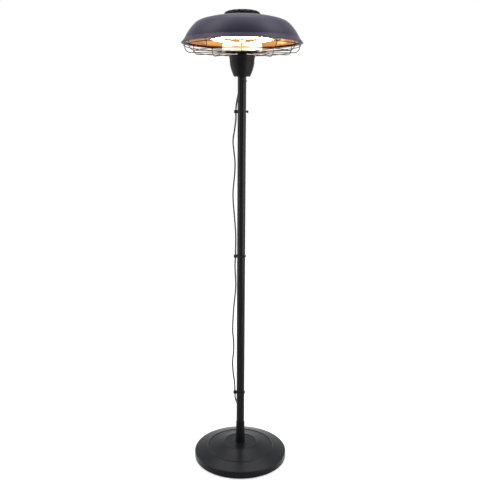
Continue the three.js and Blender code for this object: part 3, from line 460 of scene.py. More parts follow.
def softened(node, finish, edge):
    """A piece with the frame node's shape and rounded edges."""
    bm = bmesh.new()
    bm.from_mesh(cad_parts[node].data)
    bmesh.ops.remove_doubles(bm, verts=bm.verts, dist=1e-6)
    bmesh.ops.dissolve_limit(
        bm, angle_limit=math.radians(2), verts=bm.verts, edges=bm.edges, delimit=set()
    )
    bm.transform(Matrix.Scale(1 / MM, 4))
    bevel = piece(node + "_shape", bm, finish, [node]).modifiers.new("Edges", "BEVEL")
    bevel.width = edge * MM
    bevel.segments = 2
    bevel.limit_method = "ANGLE"
    bevel.angle_limit = math.radians(BEVEL_FROM)


# ------------------------------------------------------------ geometry nodes


def new_tree(name, inputs):
    """A node tree with a geometry input, named inputs and a geometry output."""
    tree = bpy.data.node_groups.new(name, "GeometryNodeTree")
    tree.interface.new_socket("Geometry", in_out="INPUT", socket_type="NodeSocketGeometry")
    for label, kind in inputs:
        tree.interface.new_socket(label, in_out="INPUT", socket_type=kind)
    tree.interface.new_socket("Geometry", in_out="OUTPUT", socket_type="NodeSocketGeometry")
    return tree, tree.nodes.new("NodeGroupInput").outputs


def math_node(tree, operation, a, b=0.0):
    """The result of a maths node on values or sockets."""
    return add(tree, "ShaderNodeMath", {0: a, 1: b}, operation=operation).outputs[0]


def end_tree(tree, geometry, finish):
    """Realises what the tree made, gives it its finish and hands it out."""
    real = add(tree, "GeometryNodeRealizeInstances", {"Geometry": geometry}).outputs["Geometry"]
    shaded = add(tree, "GeometryNodeSetMaterial", {"Geometry": real, "Material": finish})
    out = tree.nodes.new("NodeGroupOutput")
    tree.links.new(shaded.outputs["Geometry"], out.inputs["Geometry"])
    return tree


def dish_tree():
    """Turns a closed outline, given as a loop of points in order, about the vertical axis."""
    tree, given = new_tree("turned_dish", [
        ("Segments", "NodeSocketInt"), ("Finish", "NodeSocketMaterial"),
    ])
    points = add(tree, "GeometryNodeAttributeDomainSize", {"Geometry": given["Geometry"]})
    count = points.outputs["Point Count"]
    rows = math_node(tree, "ADD", count, 1)
    columns = math_node(tree, "ADD", given["Segments"], 1)
    grid = add(tree, "GeometryNodeMeshGrid", {"Vertices X": columns, "Vertices Y": rows})
    index = tree.nodes.new("GeometryNodeInputIndex").outputs["Index"]
    row = math_node(tree, "MODULO", index, rows)
    on_outline = math_node(tree, "MODULO", row, count)
    column = math_node(tree, "FLOOR", math_node(tree, "DIVIDE", math_node(tree, "ADD", index, 0.5), rows))
    position = tree.nodes.new("GeometryNodeInputPosition").outputs["Position"]
    sample = add(
        tree, "GeometryNodeSampleIndex",
        {"Geometry": given["Geometry"], "Index": on_outline}, data_type="FLOAT_VECTOR",
    )
    vector_value = next(s for s in sample.inputs if s.name == "Value" and s.type == "VECTOR")
    tree.links.new(position, vector_value)
    vector_result = next(s for s in sample.outputs if s.type == "VECTOR")
    parts = add(tree, "ShaderNodeSeparateXYZ", {"Vector": vector_result}).outputs
    share = math_node(tree, "DIVIDE", column, given["Segments"])
    angle = math_node(tree, "MULTIPLY", share, 2 * math.pi)
    place = add(tree, "ShaderNodeCombineXYZ", {
        "X": math_node(tree, "MULTIPLY", parts["X"], math_node(tree, "COSINE", angle)),
        "Y": math_node(tree, "MULTIPLY", parts["X"], math_node(tree, "SINE", angle)),
        "Z": parts["Z"],
    }).outputs["Vector"]
    shaped = add(
        tree, "GeometryNodeSetPosition", {"Geometry": grid.outputs["Mesh"], "Position": place}
    ).outputs["Geometry"]
    closed = add(
        tree, "GeometryNodeMergeByDistance", {"Geometry": shaped, "Distance": 1e-6}
    ).outputs["Geometry"]
    return end_tree(tree, closed, given["Finish"])


def instance_copies(tree, geometry, amount):
    """Outputs of the node that copies a geometry, each copy an instance."""
    instance = add(tree, "GeometryNodeGeometryToInstance", {"Geometry": geometry})
    inputs = {"Geometry": instance.outputs["Instances"], "Amount": amount}
    return add(tree, "GeometryNodeDuplicateElements", inputs, domain="INSTANCE").outputs


def end_round(tree, instances, angle, finish):
    """Turns each instance about the vertical axis by its angle, and ends the tree."""
    turn = add(tree, "ShaderNodeCombineXYZ", {"Z": angle}).outputs["Vector"]
    placed = add(tree, "GeometryNodeRotateInstances", {
        "Instances": instances, "Rotation": turn, "Local Space": False,
    })
    return end_tree(tree, placed.outputs["Instances"], finish)


def round_tree():
    """Repeats a shape round the vertical axis."""
    tree, given = new_tree("round_the_axis", [
        ("Count", "NodeSocketInt"), ("First angle", "NodeSocketFloat"), ("Finish", "NodeSocketMaterial"),
    ])
    copies = instance_copies(tree, given["Geometry"], given["Count"])
    step = math_node(tree, "DIVIDE", 2 * math.pi, given["Count"])
    turn = math_node(tree, "MULTIPLY", copies["Duplicate Index"], step)
    angle = math_node(tree, "ADD", turn, given["First angle"])
    return end_round(tree, copies["Geometry"], angle, given["Finish"])


def spoke_tree():
    """Repeats a shape round the vertical axis: one in front, one behind, and mirrored ones between."""
    sides = [f"Angle {k + 1}" for k in range(len(SPOKES))]
    tree, given = new_tree("mirrored_round_the_axis", [
        *((side, "NodeSocketFloat") for side in sides),
        ("Turn", "NodeSocketFloat"), ("Finish", "NodeSocketMaterial"),
    ])
    copies = instance_copies(tree, given["Geometry"], 2 * len(sides) + 2)
    table = add(tree, "GeometryNodeIndexSwitch", {"Index": copies["Duplicate Index"]}, data_type="FLOAT")
    turns = [0.0, math.pi]
    for side in sides:
        turns += [given[side], math_node(tree, "MULTIPLY", given[side], -1)]
    while len(table.index_switch_items) < len(turns):
        table.index_switch_items.new()
    for k, turn in enumerate(turns):
        if isinstance(turn, float):
            table.inputs[k + 1].default_value = turn
        else:
            tree.links.new(turn, table.inputs[k + 1])
    angle = math_node(tree, "ADD", table.outputs["Output"], given["Turn"])
    return end_round(tree, copies["Geometry"], angle, given["Finish"])


def grown(name, bm, tree, values, nodes=()):
    """Runs a tree on a mesh in mm and keeps the result as a plain piece."""
    bm.transform(Matrix.Scale(MM, 4))
    obj = new_object(name, new_mesh(name, bm))
    modifier = obj.modifiers.new("Form", "NODES")
    modifier.node_group = tree
    for item in tree.interface.items_tree:
        if item.in_out == "INPUT" and item.name in values:
            modifier[item.identifier] = values[item.name]
    evaluated = obj.evaluated_get(bpy.context.evaluated_depsgraph_get())
    made = bpy.data.meshes.new_from_object(evaluated)
    obj.modifiers.remove(modifier)
    whole = bmesh.new()
    whole.from_mesh(made)
    if whole.calc_volume(signed=True) < 0:
        bmesh.ops.reverse_faces(whole, faces=whole.faces)
    whole.to_mesh(made)
    whole.free()
    smooth(made)
    obj.data = made
    made.name = name
    return seated(obj, nodes)


def outline_loop(outline):
    """An outline of (radius, height) points as a loop of points in the XZ plane."""
    bm = bmesh.new()
    points = [bm.verts.new((r, 0, z)) for r, z in outline]
    for here, there in zip(points, points[1:] + points[:1]):
        bm.edges.new((here, there))
    return bm


# ------------------------------------------------------------ stage and camera

# The photograph's view: the camera stands in front at a little over three quarters of the height
CAMERA_PLACE = (-0.0055, -2.87, 1.6572)
CAMERA_TILT = 78.61  # degrees up from straight down
CAMERA_ROLL = 0.26  # degrees
CAMERA_LENS = 47.63  # mm
SENSOR = 36.0  # width of the camera's frame, in mm

FLOOR_RADIUS = 40.0
FLOOR_LIFT = 0.55  # glow of the floor as the camera sees it
SKY_LEAN = -16.0  # degrees from straight down, away from the camera

# Softboxes: place, the height on the heater's axis that they face, width, height and watts
SOFTBOXES = {
    "softbox_right": ((2.4, -0.3, 1.4), 1.3, 1.4, 2.4, 26),
    "softbox_left": ((-2.3, 0.7, 1.4), 1.3, 1.2, 2.4, 22),
}
# Those that light the reflections alone
SHEEN_BOXES = {
    "strip_right": ((2.05, -1.4, 1.1), 1.0, 1.0, 2.0, 40),
    "strip_left": ((-2.2, -1.0, 1.1), 1.0, 0.6, 2.0, 20),
    "hood_light_right": ((1.5, -0.1, 4.0), 2.0, 1.2, 1.2, 27),
    "hood_light_left": ((-1.5, -0.1, 4.0), 2.0, 1.2, 1.2, 27),
}


def make_camera():
    """The camera, in the place and with the lens of the photograph."""
    camera = new_object("camera", bpy.data.cameras.new("camera"))
    camera.data.sensor_width = SENSOR
    camera.data.lens = CAMERA_LENS
    turn = Matrix.Rotation(math.radians(CAMERA_TILT), 4, "X")
    roll = Matrix.Rotation(math.radians(CAMERA_ROLL), 4, "Z")
    camera.matrix_world = Matrix.Translation(CAMERA_PLACE) @ turn @ roll
    bpy.context.scene.camera = camera


def make_world(level):
    """White for the camera and in reflections, and a plain even light for the object."""
    world = bpy.data.worlds.new("studio")
    world.use_nodes = True
    tree = world.node_tree
    tree.nodes.clear()
    plain = add(tree, "ShaderNodeBackground", {"Color": linear("#ffffff"), "Strength": level})
    white = add(tree, "ShaderNodeBackground", {"Color": linear("#ffffff"), "Strength": 1.0})
    mixed = add(tree, "ShaderNodeMixShader", {
        0: seen_white(tree), 1: plain.outputs["Background"], 2: white.outputs["Background"],
    })
    out = tree.nodes.new("ShaderNodeOutputWorld")
    tree.links.new(mixed.outputs["Shader"], out.inputs["Surface"])
    bpy.context.scene.world = world


def seen_white(tree):
    """1 for what the camera sees, straight, in a reflection or through glass, and 0 for light."""
    path = tree.nodes.new("ShaderNodeLightPath").outputs
    seen = math_node(tree, "MAXIMUM", path["Is Camera Ray"], path["Is Glossy Ray"])
    return math_node(tree, "MAXIMUM", seen, path["Is Transmission Ray"])


def make_softbox(name, place, aim, width, height, power, sheen_only=False):
    """A softbox aimed at a height on the heater's axis. It may light the reflections alone."""
    lamp = bpy.data.lights.new(name, "AREA")
    lamp.shape = "RECTANGLE"
    lamp.size, lamp.size_y, lamp.energy = width, height, power
    way = Vector((0, 0, aim)) - Vector(place)
    obj = new_object(name, lamp)
    obj.matrix_world = Matrix.Translation(place) @ way.to_track_quat("-Z", "Y").to_matrix().to_4x4()
    obj.visible_diffuse = not sheen_only


def make_floor():
    """A floor that is white to the camera where no shadow falls, and gives little light back."""
    bm = bmesh.new()
    bmesh.ops.create_circle(bm, cap_ends=True, segments=96, radius=FLOOR_RADIUS)
    floor = new_object("studio_floor", new_mesh("studio_floor", bm))
    material = bpy.data.materials.new("white_painted_floor")
    material.use_nodes = True
    tree = material.node_tree
    tree.nodes.clear()
    seen = seen_white(tree)
    paint = add(tree, "ShaderNodeBsdfDiffuse", {
        "Color": add(
            tree, "ShaderNodeMix", {0: seen, 6: linear("#8c8c8c"), 7: linear("#f4f4f4")},
            data_type="RGBA",
        ).outputs[2],
    })
    lift = add(tree, "ShaderNodeEmission", {"Strength": math_node(tree, "MULTIPLY", seen, FLOOR_LIFT)})
    both = add(tree, "ShaderNodeAddShader", {0: paint.outputs[0], 1: lift.outputs[0]})
    out = tree.nodes.new("ShaderNodeOutputMaterial")
    tree.links.new(both.outputs[0], out.inputs["Surface"])
    floor.data.materials.append(material)


def make_sky(strength, width):
    """The studio's wide light from above, with its width in degrees."""
    lamp = bpy.data.lights.new("overhead", "SUN")
    lamp.energy, lamp.angle = strength, math.radians(width)
    new_object("overhead", lamp).matrix_world = Matrix.Rotation(math.radians(SKY_LEAN), 4, "X")


# ------------------------------------------------------------ power lead

LEAD_RADIUS = 3.5
HANK_TURNS = 4
HANK_RUN = 110.0  # straight stretch between two folds
HANK_FOLD = 21.0  # least radius of the folds
HANK_STEP = 9.0  # by which it grows and shrinks again from turn to turn
HANK_PITCH = 7.5  # between two layers
HANK_DRAW = 13.0  # how far the strap draws a run in
HANK_TAIL = 56.0  # from the hank's middle back to the plug
HANK_STEPS = 14  # points along a run and round a fold
TAIL_HANDLES = (22.0, 17.0)  # of the curve to the plug, where it starts and where it ends
TAIL_STEPS = 12
HANK_CLEAR = 1.0  # between the hank and the pole's socket
HANK_FRONT_Y = POLE_RADIUS + GAP + SOCKET_WALL + SOCKET_TAPER + LEAD_RADIUS + HANK_CLEAR
HANK_Y = HANK_FRONT_Y + HANK_FOLD + HANK_STEP
HANK_LAST_FOLD = HANK_FOLD + 1.25 * HANK_STEP
HANK_FOLD_Z = HUB_TOP + GAP + LEAD_RADIUS + HANK_LAST_FOLD
HANK_TOP_Z = HANK_FOLD_Z + HANK_RUN
HANK_START_Z = HANK_TOP_Z + 2 * LEAD_RADIUS
HANK_X = -(HANK_TURNS - 1) * HANK_PITCH / 2
PLUG_RADIUS = 18.5
PLUG_SLEEVE = 22.0
PLUG_LENGTH = 36.0  # without its sleeve
SLEEVE_RIBS, SLEEVE_RIB_PITCH = 5, 4.0
GRIPS, GRIP = 18, (3.0, 1.6, 16)
GRIP_BACK = 22.0  # from the plug's face
PIN_RADIUS, PIN_LENGTH, PIN_SPACING = 2.4, 19.0, 19.0
STRAP_THICKNESS = 1.6
STRAP_CORNER = 6.0


def gland_place():
    """Where the lead leaves the gland: its axis, in x and y, and its tip's height."""
    bottom, top = low("cord_gland"), high("cord_gland")
    return (bottom.x + top.x) / 2, (bottom.y + top.y) / 2, bottom.z - GAP


def lead_route():
    """Down the left of the pole through the clips, then behind it to the hank."""
    x, y, z = gland_place()
    meet = HANK_START_Z + GAP
    return [
        (x, y, z), (x, y, z - 12), (-14.5, 21.6, 1745), (-20.3, 14.4, 1715), (-25, 5, 1685),
        (-26.5, 0, 1659), (-26, 0, 1630), (-32, 0, 1580), (-38.5, 0, 1533), (-35, 1, 1488),
        (-29.8, 2, 1438), (-30.5, 2, 1390), (-34, 1, 1350), (-38.2, 0, 1300), (-37, 0, 1255),
        (-32.5, 2, 1200), (-28.5, 5, 1150), (-25.5, 6, 1100), (-25.5, 4, 1055), (-26.5, 0, 1003),
        (-28, 1, 955), (-26, 5, 905), (-24.5, 6, 858), (-28.5, 3, 805), (-34, 0, 750),
        (-37, 0, 695), (-38.6, 0, 641), (-34, 1, 590), (-33.5, 1, 540), (-38.6, 0, 485),
        (-36, 0, 435), (-29, 1, 380), (-26.5, 0, 328), (-25.5, 5, 300), (-20.5, 15.5, 275),
        (-14.5, HANK_FRONT_Y - 2.5, 252), (HANK_X, HANK_FRONT_Y, meet + 10),
        (HANK_X, HANK_FRONT_Y, meet),
    ]


def through(points, step=6.0):
    """A centripetal curve through the points, as a list of close points."""
    points = [Vector(p) for p in points]
    ends = [2 * points[0] - points[1], *points, 2 * points[-1] - points[-2]]
    line = []
    for p0, p1, p2, p3 in zip(ends, ends[1:], ends[2:], ends[3:]):
        t1 = (p1 - p0).length ** 0.5
        t2 = t1 + (p2 - p1).length ** 0.5
        t3 = t2 + (p3 - p2).length ** 0.5
        count = max(1, round((p2 - p1).length / step))
        for k in range(count):
            t = t1 + (t2 - t1) * k / count
            a1 = p0.lerp(p1, t / t1)
            a2 = p1.lerp(p2, (t - t1) / (t2 - t1))
            a3 = p2.lerp(p3, (t - t2) / (t3 - t2))
            b1 = a1.lerp(a2, t / t2)
            b2 = a2.lerp(a3, (t - t1) / (t3 - t1))
            line.append(b1.lerp(b2, (t - t1) / (t2 - t1)))
    return [*line, points[-1]]


def plug_axis():
    """The point where the lead enters the plug, and the way the plug points."""
    y = HANK_Y + HANK_TAIL
    cone_z = HUB_TOP - HUB_STEP - (y - HUB_RADIUS) * math.tan(CONE_ANGLE)
    entry = Vector((0, y, cone_z + (PLUG_RADIUS + GAP) / math.cos(CONE_ANGLE)))
    return entry, Vector((0, math.cos(CONE_ANGLE), -math.sin(CONE_ANGLE)))


def hank_line():
    """The hank: upright turns in layers, climbing a layer along each run by the pole."""
    fold = math.pi * (HANK_FOLD + HANK_STEP / 2)
    turn = 2 * (HANK_RUN + fold)
    middle = HANK_RUN / 2
    line = [Vector((HANK_X, HANK_FRONT_Y, HANK_START_Z))]

    def at(distance):
        """Fold radius and layer at a distance along the hank."""
        s = (distance - middle) / turn
        inside = min(max(s, 0), HANK_TURNS)
        wave = abs((inside + 1) % 2 - 1)
        radius = HANK_FOLD + HANK_STEP * (1 - wave + max(s - HANK_TURNS, 0))
        whole = min(max(round(s), 0), HANK_TURNS)
        layer = min(max(math.floor(s), 0), HANK_TURNS - 1)
        away = (s - whole) * turn
        if 0 < whole < HANK_TURNS and abs(away) < middle + 1e-6:
            layer = whole - 1 + 0.5 - 0.5 * math.cos(math.pi * (away / HANK_RUN + 0.5))
        return radius, HANK_X + layer * HANK_PITCH

    distance = 0.0
    for half in range(2 * HANK_TURNS + 1):
        down = half % 2 == 0
        sign = -1 if down else 1
        for k in range(HANK_STEPS):
            u = k / HANK_STEPS
            radius, x = at(distance + u * HANK_RUN)
            drawn = HANK_DRAW / 2 * (1 - math.cos(2 * math.pi * u))
            z = HANK_TOP_Z - u * HANK_RUN if down else HANK_FOLD_Z + u * HANK_RUN
            line.append(Vector((x, HANK_Y + sign * (radius - drawn), z)))
        distance += HANK_RUN
        last = half == 2 * HANK_TURNS
        for k in range(HANK_STEPS // 2 if last else HANK_STEPS):
            angle = math.pi * k / HANK_STEPS
            radius, x = at(distance + fold * k / HANK_STEPS)
            z = HANK_FOLD_Z if down else HANK_TOP_Z
            y = HANK_Y + sign * radius * math.cos(angle)
            line.append(Vector((x, y, z + sign * radius * math.sin(angle))))
        distance += fold
    start = Vector((-HANK_X, HANK_Y, HANK_FOLD_Z - HANK_LAST_FOLD))
    entry, way = plug_axis()
    end = entry - way * 2 * LEAD_RADIUS
    leave, arrive = TAIL_HANDLES
    handles = (start + Vector((0, leave, 0)), end - way * arrive)
    for k in range(TAIL_STEPS + 1):
        t = k / TAIL_STEPS
        a, b, c = start.lerp(handles[0], t), handles[0].lerp(handles[1], t), handles[1].lerp(end, t)
        line.append(a.lerp(b, t).lerp(b.lerp(c, t), t))
    return [*line, entry]


def make_lead(finishes):
    """The whole power lead as one curve, from the gland to the plug, with its plug and strap."""
    line = through(lead_route()) + hank_line()
    data = bpy.data.curves.new("power_lead", "CURVE")
    data.dimensions = "3D"
    data.bevel_depth = LEAD_RADIUS * MM
    data.bevel_resolution = 4
    data.use_fill_caps = True
    spline = data.splines.new("POLY")
    spline.points.add(len(line) - 1)
    for point, place in zip(spline.points, line):
        point.co = (*(place * MM), 1.0)
    spline.use_smooth = True
    data.materials.append(finishes["lead"])
    lead = new_object("power_lead", data)
    seated(lead, ["power_cord", "cord_hank"])
    goes_with = [*make_plug(finishes), make_strap(finishes)]


def make_plug(finishes):
    """A round earthed plug with finger grips, a ribbed relief sleeve and two pins."""
    entry, way = plug_axis()
    lie = Matrix.Translation(entry + way * GAP) @ way.to_track_quat("Z", "Y").to_matrix().to_4x4()
    ribs = []
    for k in range(SLEEVE_RIBS):
        z = 2 + SLEEVE_RIB_PITCH * k
        radius = LEAD_RADIUS + 1.6 + 3.2 * z / PLUG_SLEEVE
        ribs += rib(radius, z, 1.1, (2.2, 2.4, 3.8), 0.3)
    waist = PLUG_RADIUS - 1.2
    face = PLUG_SLEEVE + PLUG_LENGTH
    body = lathed([
        (0, 0, 0), (LEAD_RADIUS + 1.2, 0, 0.5), *ribs,
        (LEAD_RADIUS + 5, PLUG_SLEEVE + 0.2, 1), (0.8 * PLUG_RADIUS, PLUG_SLEEVE + 4, 4),
        (waist, PLUG_SLEEVE + 12, 4), (waist, PLUG_SLEEVE + 22, 1),
        (PLUG_RADIUS, PLUG_SLEEVE + 24, 1), (PLUG_RADIUS, face, 1.2), (0, face, 0),
    ], 64)
    at_grip = Matrix.Translation((0, PLUG_RADIUS - 0.9, face - GRIP_BACK))
    grips = [
        (block(GRIP, (0, 0, 0), 0.7), Matrix.Rotation(angle, 4, "Z") @ at_grip) for angle in angles(GRIPS)
    ]
    body = joined(body, *grips)
    body.transform(lie)
    plug = piece("plug_body", body, finishes["nylon"], ["power_plug"])
    pins = [
        (stud(PIN_RADIUS, PIN_LENGTH, 0, 1.2, 24), lie @ Matrix.Translation((x, 0, face)))
        for x in (-PIN_SPACING / 2, PIN_SPACING / 2)
    ]
    return plug, piece("plug_pins", joined(*pins), finishes["nickel"])


def make_strap(finishes):
    """The strap that holds the hank at its waist."""
    bottom, top = low("cord_tie"), high("cord_tie")
    middle = (bottom + top) / 2
    half = STRAP_THICKNESS / 2
    half_x, half_y = (top.x - bottom.x) / 2 - half, (top.y - bottom.y) / 2 - half
    path = filleted([
        (middle.x + x * half_x, middle.y + y * half_y, STRAP_CORNER)
        for x, y in ((-1, -1), (1, -1), (1, 1), (-1, 1))
    ], 8)
    rings = []
    for before, point, after in zip(path[-1:] + path[:-1], path, path[1:] + path[:1]):
        along = (after - before).normalized()
        out = Vector((along.y, -along.x)) * half
        inner, outer = point - out, point + out
        rings.append([(*inner, bottom.z), (*outer, bottom.z), (*outer, top.z), (*inner, top.z)])
    return piece("hank_strap", lofted(rings, closed=True), finishes["strap"], ["cord_tie"])


# ------------------------------------------------------------ base

COVER_WALL = 3.0
PAD_WIDTH = 18.0


def make_base(finishes):
    """Cover, rubber ring, iron weight, bolt and nut."""
    rim, bottom, top = round_size("base_cover")
    foot = high("pole_socket").x
    inside, ceiling = rim - COVER_WALL, top - COVER_WALL
    cone_inside = 66.6  # where the upper cone's underside starts
    cover = lathed([
        (BOLT_HOLE, top, 0), (foot + 2, top, 1), (foot + 4, top - 0.6, 1),
        # The bead between the hub and the upper cone, with a groove before it
        (HUB_RADIUS - 3.6, top - 2.8, 0.6), (HUB_RADIUS - 2.6, top - 1.2, 0.8),
        (HUB_RADIUS, top - 1.8, 1), (HUB_RADIUS + 1.4, top - 3.2, 0.8),
        # The bead at the step ring, with a groove before it
        (STEP_RADIUS - 3.6, STEP_Z - 2.6, 0.6), (STEP_RADIUS - 2.4, STEP_Z - 0.4, 1.0),
        (STEP_RADIUS + 0.8, STEP_Z - 1.2, 1.2), (STEP_RADIUS + 3.2, STEP_Z - 4.2, 1.0),
        # The lower cone and the side wall
        (rim - 4, SIDE_TOP + 4.2, 5), (rim, SIDE_TOP, 3), (rim, bottom, 0.8),
        # The inside
        (inside, bottom, 0.8), (inside, SIDE_TOP - 1, 2), (STEP_RADIUS - 3, STEP_Z - 6.5, 1),
        (HUB_RADIUS - 3, cone_inside, 1), (HUB_RADIUS - 5.4, ceiling, 1), (BOLT_HOLE, ceiling, 0),
    ], 160)
    piece("base_shell", cover, finishes["base"], ["base_cover"])
    outer, _, pad_top = round_size("base_pad")
    inner = outer - PAD_WIDTH
    pad = lathed([(inner, 0, 0.8), (outer, 0, 0.8), (outer, pad_top, 0.5), (inner, pad_top, 0.5)], 128)
    piece("base_foot_ring", pad, finishes["rubber"], ["base_pad"])
    radius, bottom, top = round_size("base_weight")
    pocket, pocket_top = 14, bottom + 8.5  # for the bolt's head
    core, plate_top = 34, bottom + 12  # the thick middle, and the plate round it
    weight = lathed([
        (BOLT_HOLE, pocket_top, 0), (pocket, pocket_top, 1), (pocket, bottom, 1), (radius, bottom, 1.5),
        (radius, plate_top, 2), (core, plate_top, 3), (core, top, 1.5), (BOLT_HOLE, top, 0),
    ], 96)
    piece("iron_weight", weight, finishes["iron"], ["base_weight"])
    softened("centre_bolt", finishes["zinc"], 0.5)
    softened("socket_nut", finishes["zinc"], 0.7)


# ------------------------------------------------------------ pole

POLE_WALL = 1.5
SLEEVE_WALL = 2.0


def make_pole(finishes):
    """Socket, three tubes with eased ends, and the sleeves inside them."""
    foot, bottom, top = round_size("pole_socket")
    inside = POLE_RADIUS + GAP
    mouth = inside + SOCKET_WALL
    floor = bottom + 12
    socket = lathed([
        (BOLT_HOLE, bottom, 0), (foot, bottom, 0.6), (foot, bottom + 4, 1.5),
        (mouth + SOCKET_TAPER, bottom + 8, 3), (mouth, top, 0.6), (inside, top, 0.4),
        (inside, floor, 0), (BOLT_HOLE, floor, 0),
    ], 80)
    piece("socket_collar", socket, finishes["abs"], ["pole_socket"])
    softened("socket_screw", finishes["zinc"], 0.3)
    for name in ("lower", "middle", "upper"):
        node = f"pole_{name}"
        radius, bottom, top = round_size(node)
        tube = band(radius - POLE_WALL, radius, bottom, top, (0, 0.5), 80)
        piece(f"tube_{name}", tube, finishes["pole"], [node])
    for name in ("lower", "upper"):
        node = f"joiner_{name}"
        radius, bottom, top = round_size(node)
        sleeve = band(radius - SLEEVE_WALL, radius, bottom, top, (0, 0.6), 64)
        piece(f"sleeve_{name}", sleeve, finishes["zinc"], [node])


CLIP_TABS = {"upper": 0, "middle": -55, "lower": -55}  # degrees from +X, where the tab stands
CLIP_WALL, CLIP_HALF = 3.0, 3.5  # thickness of the ring, and half its height
EYE_BORE, EYE_RADIUS = 4.6, 8.0
CLIP_BRIDGE = (5, 11)  # between ring and eye
CLIP_TAB = (8, 5, 11)


def make_clips(finishes):
    """Nylon clips: a ring round the pole, a cord eye at the left and a screwed tab."""
    inside = POLE_RADIUS + GAP
    for name, tab_angle in CLIP_TABS.items():
        node = f"cord_clip_{name}"
        middle = (low(node).z + high(node).z) / 2
        height = high(node).z - low(node).z
        half = height / 2
        ring = band(inside, inside + CLIP_WALL, -CLIP_HALF, CLIP_HALF, (0.4, 1), 64)
        bridge = block((*CLIP_BRIDGE, height), (-inside - 3.2, 0, 0), 1.2)
        eye = band(EYE_BORE, EYE_RADIUS, -half, half, (1.2, 1.4), 40)
        eye.transform(Matrix.Translation((low(node).x + EYE_RADIUS, 0, 0)))
        tab = block(CLIP_TAB, (inside + 6, 0, 0), 1.4)
        screw = stud(2.6, 1.1, 0.2, 0.8, 24)
        screw.transform(Matrix.Translation((inside + 6.2, -2.4, 0)) @ TO_FRONT)
        tab = joined(tab, screw)
        tab.transform(Matrix.Rotation(math.radians(tab_angle), 4, "Z"))
        clip = joined(ring, eye, bridge, tab)
        clip.transform(Matrix.Translation((0, 0, middle)))
        piece(f"lead_clip_{name}", clip, finishes["nylon"], [node])


# ------------------------------------------------------------ neck

# The cup's outline: radius, and height over its underside
NECK_CUP = [
    (36.5, 0), (39.5, 8), (44.5, 20.5), (49, 34), (52.4, 48), (54, 62), (54.7, 74), (58.5, 87.5),
]
NECK_WALL = 2.5
NECK_FLOOR = 4.0
STEM = 21.0  # radius of the spine between neck and drum
SPINE_BORE, SPINE_WAIST = 11.2, 14.0  # radii
SPINE_PLATE = 6.3  # thickness of the plate that the terminal block stands on
SEAM = 0.25  # half the seam's width, in degrees
BOSS_BORE, BOSS_RADIUS, BOSS_DEPTH = 4.0, 17.0, 11.0
MARKS, MARK_STEP, MARK_CIRCLE = 4, 45, 15.8  # number, degrees apart, and radius of their circle
GLAND_RADIUS = 7.0
GLAND_RIBS, GLAND_RIB_PITCH = 6, 4.2
RIVET_HEIGHTS = (1775, 1763)
SPINDLE_RADIUS = 3.0
SKIRT_HEIGHT = 2.5  # where the knob's grip starts
RIDGE_RISE = 2.5  # of the frame's ridge over the grip's face
GRIP_INSET = 2.6  # from the skirt's edge
SCALLOPS, SCALLOP_DEPTH = 12, 0.7


def make_neck(finishes):
    """Two half shells, the spine between pole and drum, screws, switch gear and gland."""
    lip, bottom, top = round_size("neck_front")
    hole = high("pole_upper").x + GAP
    cup = [(p.x, p.z) for p in through([(r, 0, h) for r, h in NECK_CUP], 3.0)]
    height = top - bottom
    ceiling = height - NECK_WALL
    outside = [(hole, 0, 0), (cup[0][0], 0, 2.5), *((r, h, 0) for r, h in cup[2:])]
    outside += [(lip, height - 0.8, 0), (lip, height, 0.5), (STEM + GAP, height, 0)]
    inner = [(r - NECK_WALL, h, 0) for r, h in reversed(cup) if NECK_FLOOR < h < ceiling]
    inside = [(STEM + GAP, ceiling, 0), (inner[0][0], ceiling, 0), *inner]
    inside += [(inner[-1][0], NECK_FLOOR, 0), (hole, NECK_FLOOR, 0)]
    shell = [(r, bottom + h) for r, h in filleted(outside + inside)]
    front = turned(shell, 72, 180 + SEAM, 180 - 2 * SEAM)
    piece("neck_shell_front", front, finishes["abs"], ["neck_front"])

    face = high("neck_rear").y
    axis = (low("selector_knob").z + high("selector_knob").z) / 2
    boss = lathed([
        (BOSS_BORE, 0, 0), (BOSS_RADIUS, 0, 0), (BOSS_RADIUS, BOSS_DEPTH, 1.6),
        (BOSS_BORE, BOSS_DEPTH, 0.4),
    ], 64)
    at_boss = Matrix.Translation((0, face - BOSS_DEPTH, axis)) @ TO_BACK
    rear = joined(turned(shell, 72, SEAM, 180 - 2 * SEAM), (boss, at_boss))
    piece("neck_shell_rear", rear, finishes["abs"], ["neck_rear"])

    marks = []
    for k in range(MARKS):
        angle = math.radians(90 + MARK_STEP * k)
        x, z = MARK_CIRCLE * math.cos(angle), axis + MARK_CIRCLE * math.sin(angle)
        marks.append((stud(0.9, 0.25, 0, 0.2, 16), Matrix.Translation((x, face, z)) @ TO_BACK))
    piece("heat_marks", joined(*marks), finishes["print"])

    plate_radius, depth, spine_top = round_size("head_spigot")
    outer = high("pole_upper").x - POLE_WALL - GAP
    plate = low("terminal_block").z - GAP
    under_plate = plate - SPINE_PLATE
    spine = lathed([
        (SPINE_BORE, depth, 0), (outer, depth, 0.8), (outer, under_plate, 0),
        (plate_radius, under_plate, 0.8), (plate_radius, plate, 0.8), (SPINE_WAIST, plate, 1.5),
        (SPINE_WAIST, top - 15, 2), (STEM, top - 8, 2), (STEM, spine_top, 0.5),
        (SPINE_BORE, spine_top, 0),
    ], 72)
    piece("neck_spine", spine, finishes["abs"], ["head_spigot"])
    softened("spigot_screw", finishes["zinc"], 0.8)
    for hand in ("left", "right"):
        softened(f"neck_screw_{hand}", finishes["zinc"], 0.5)
    softened("selector_switch", finishes["nylon"], 0.8)
    softened("terminal_block", finishes["ceramic"], 0.8)
    make_gland(finishes)
    make_rivets(finishes)


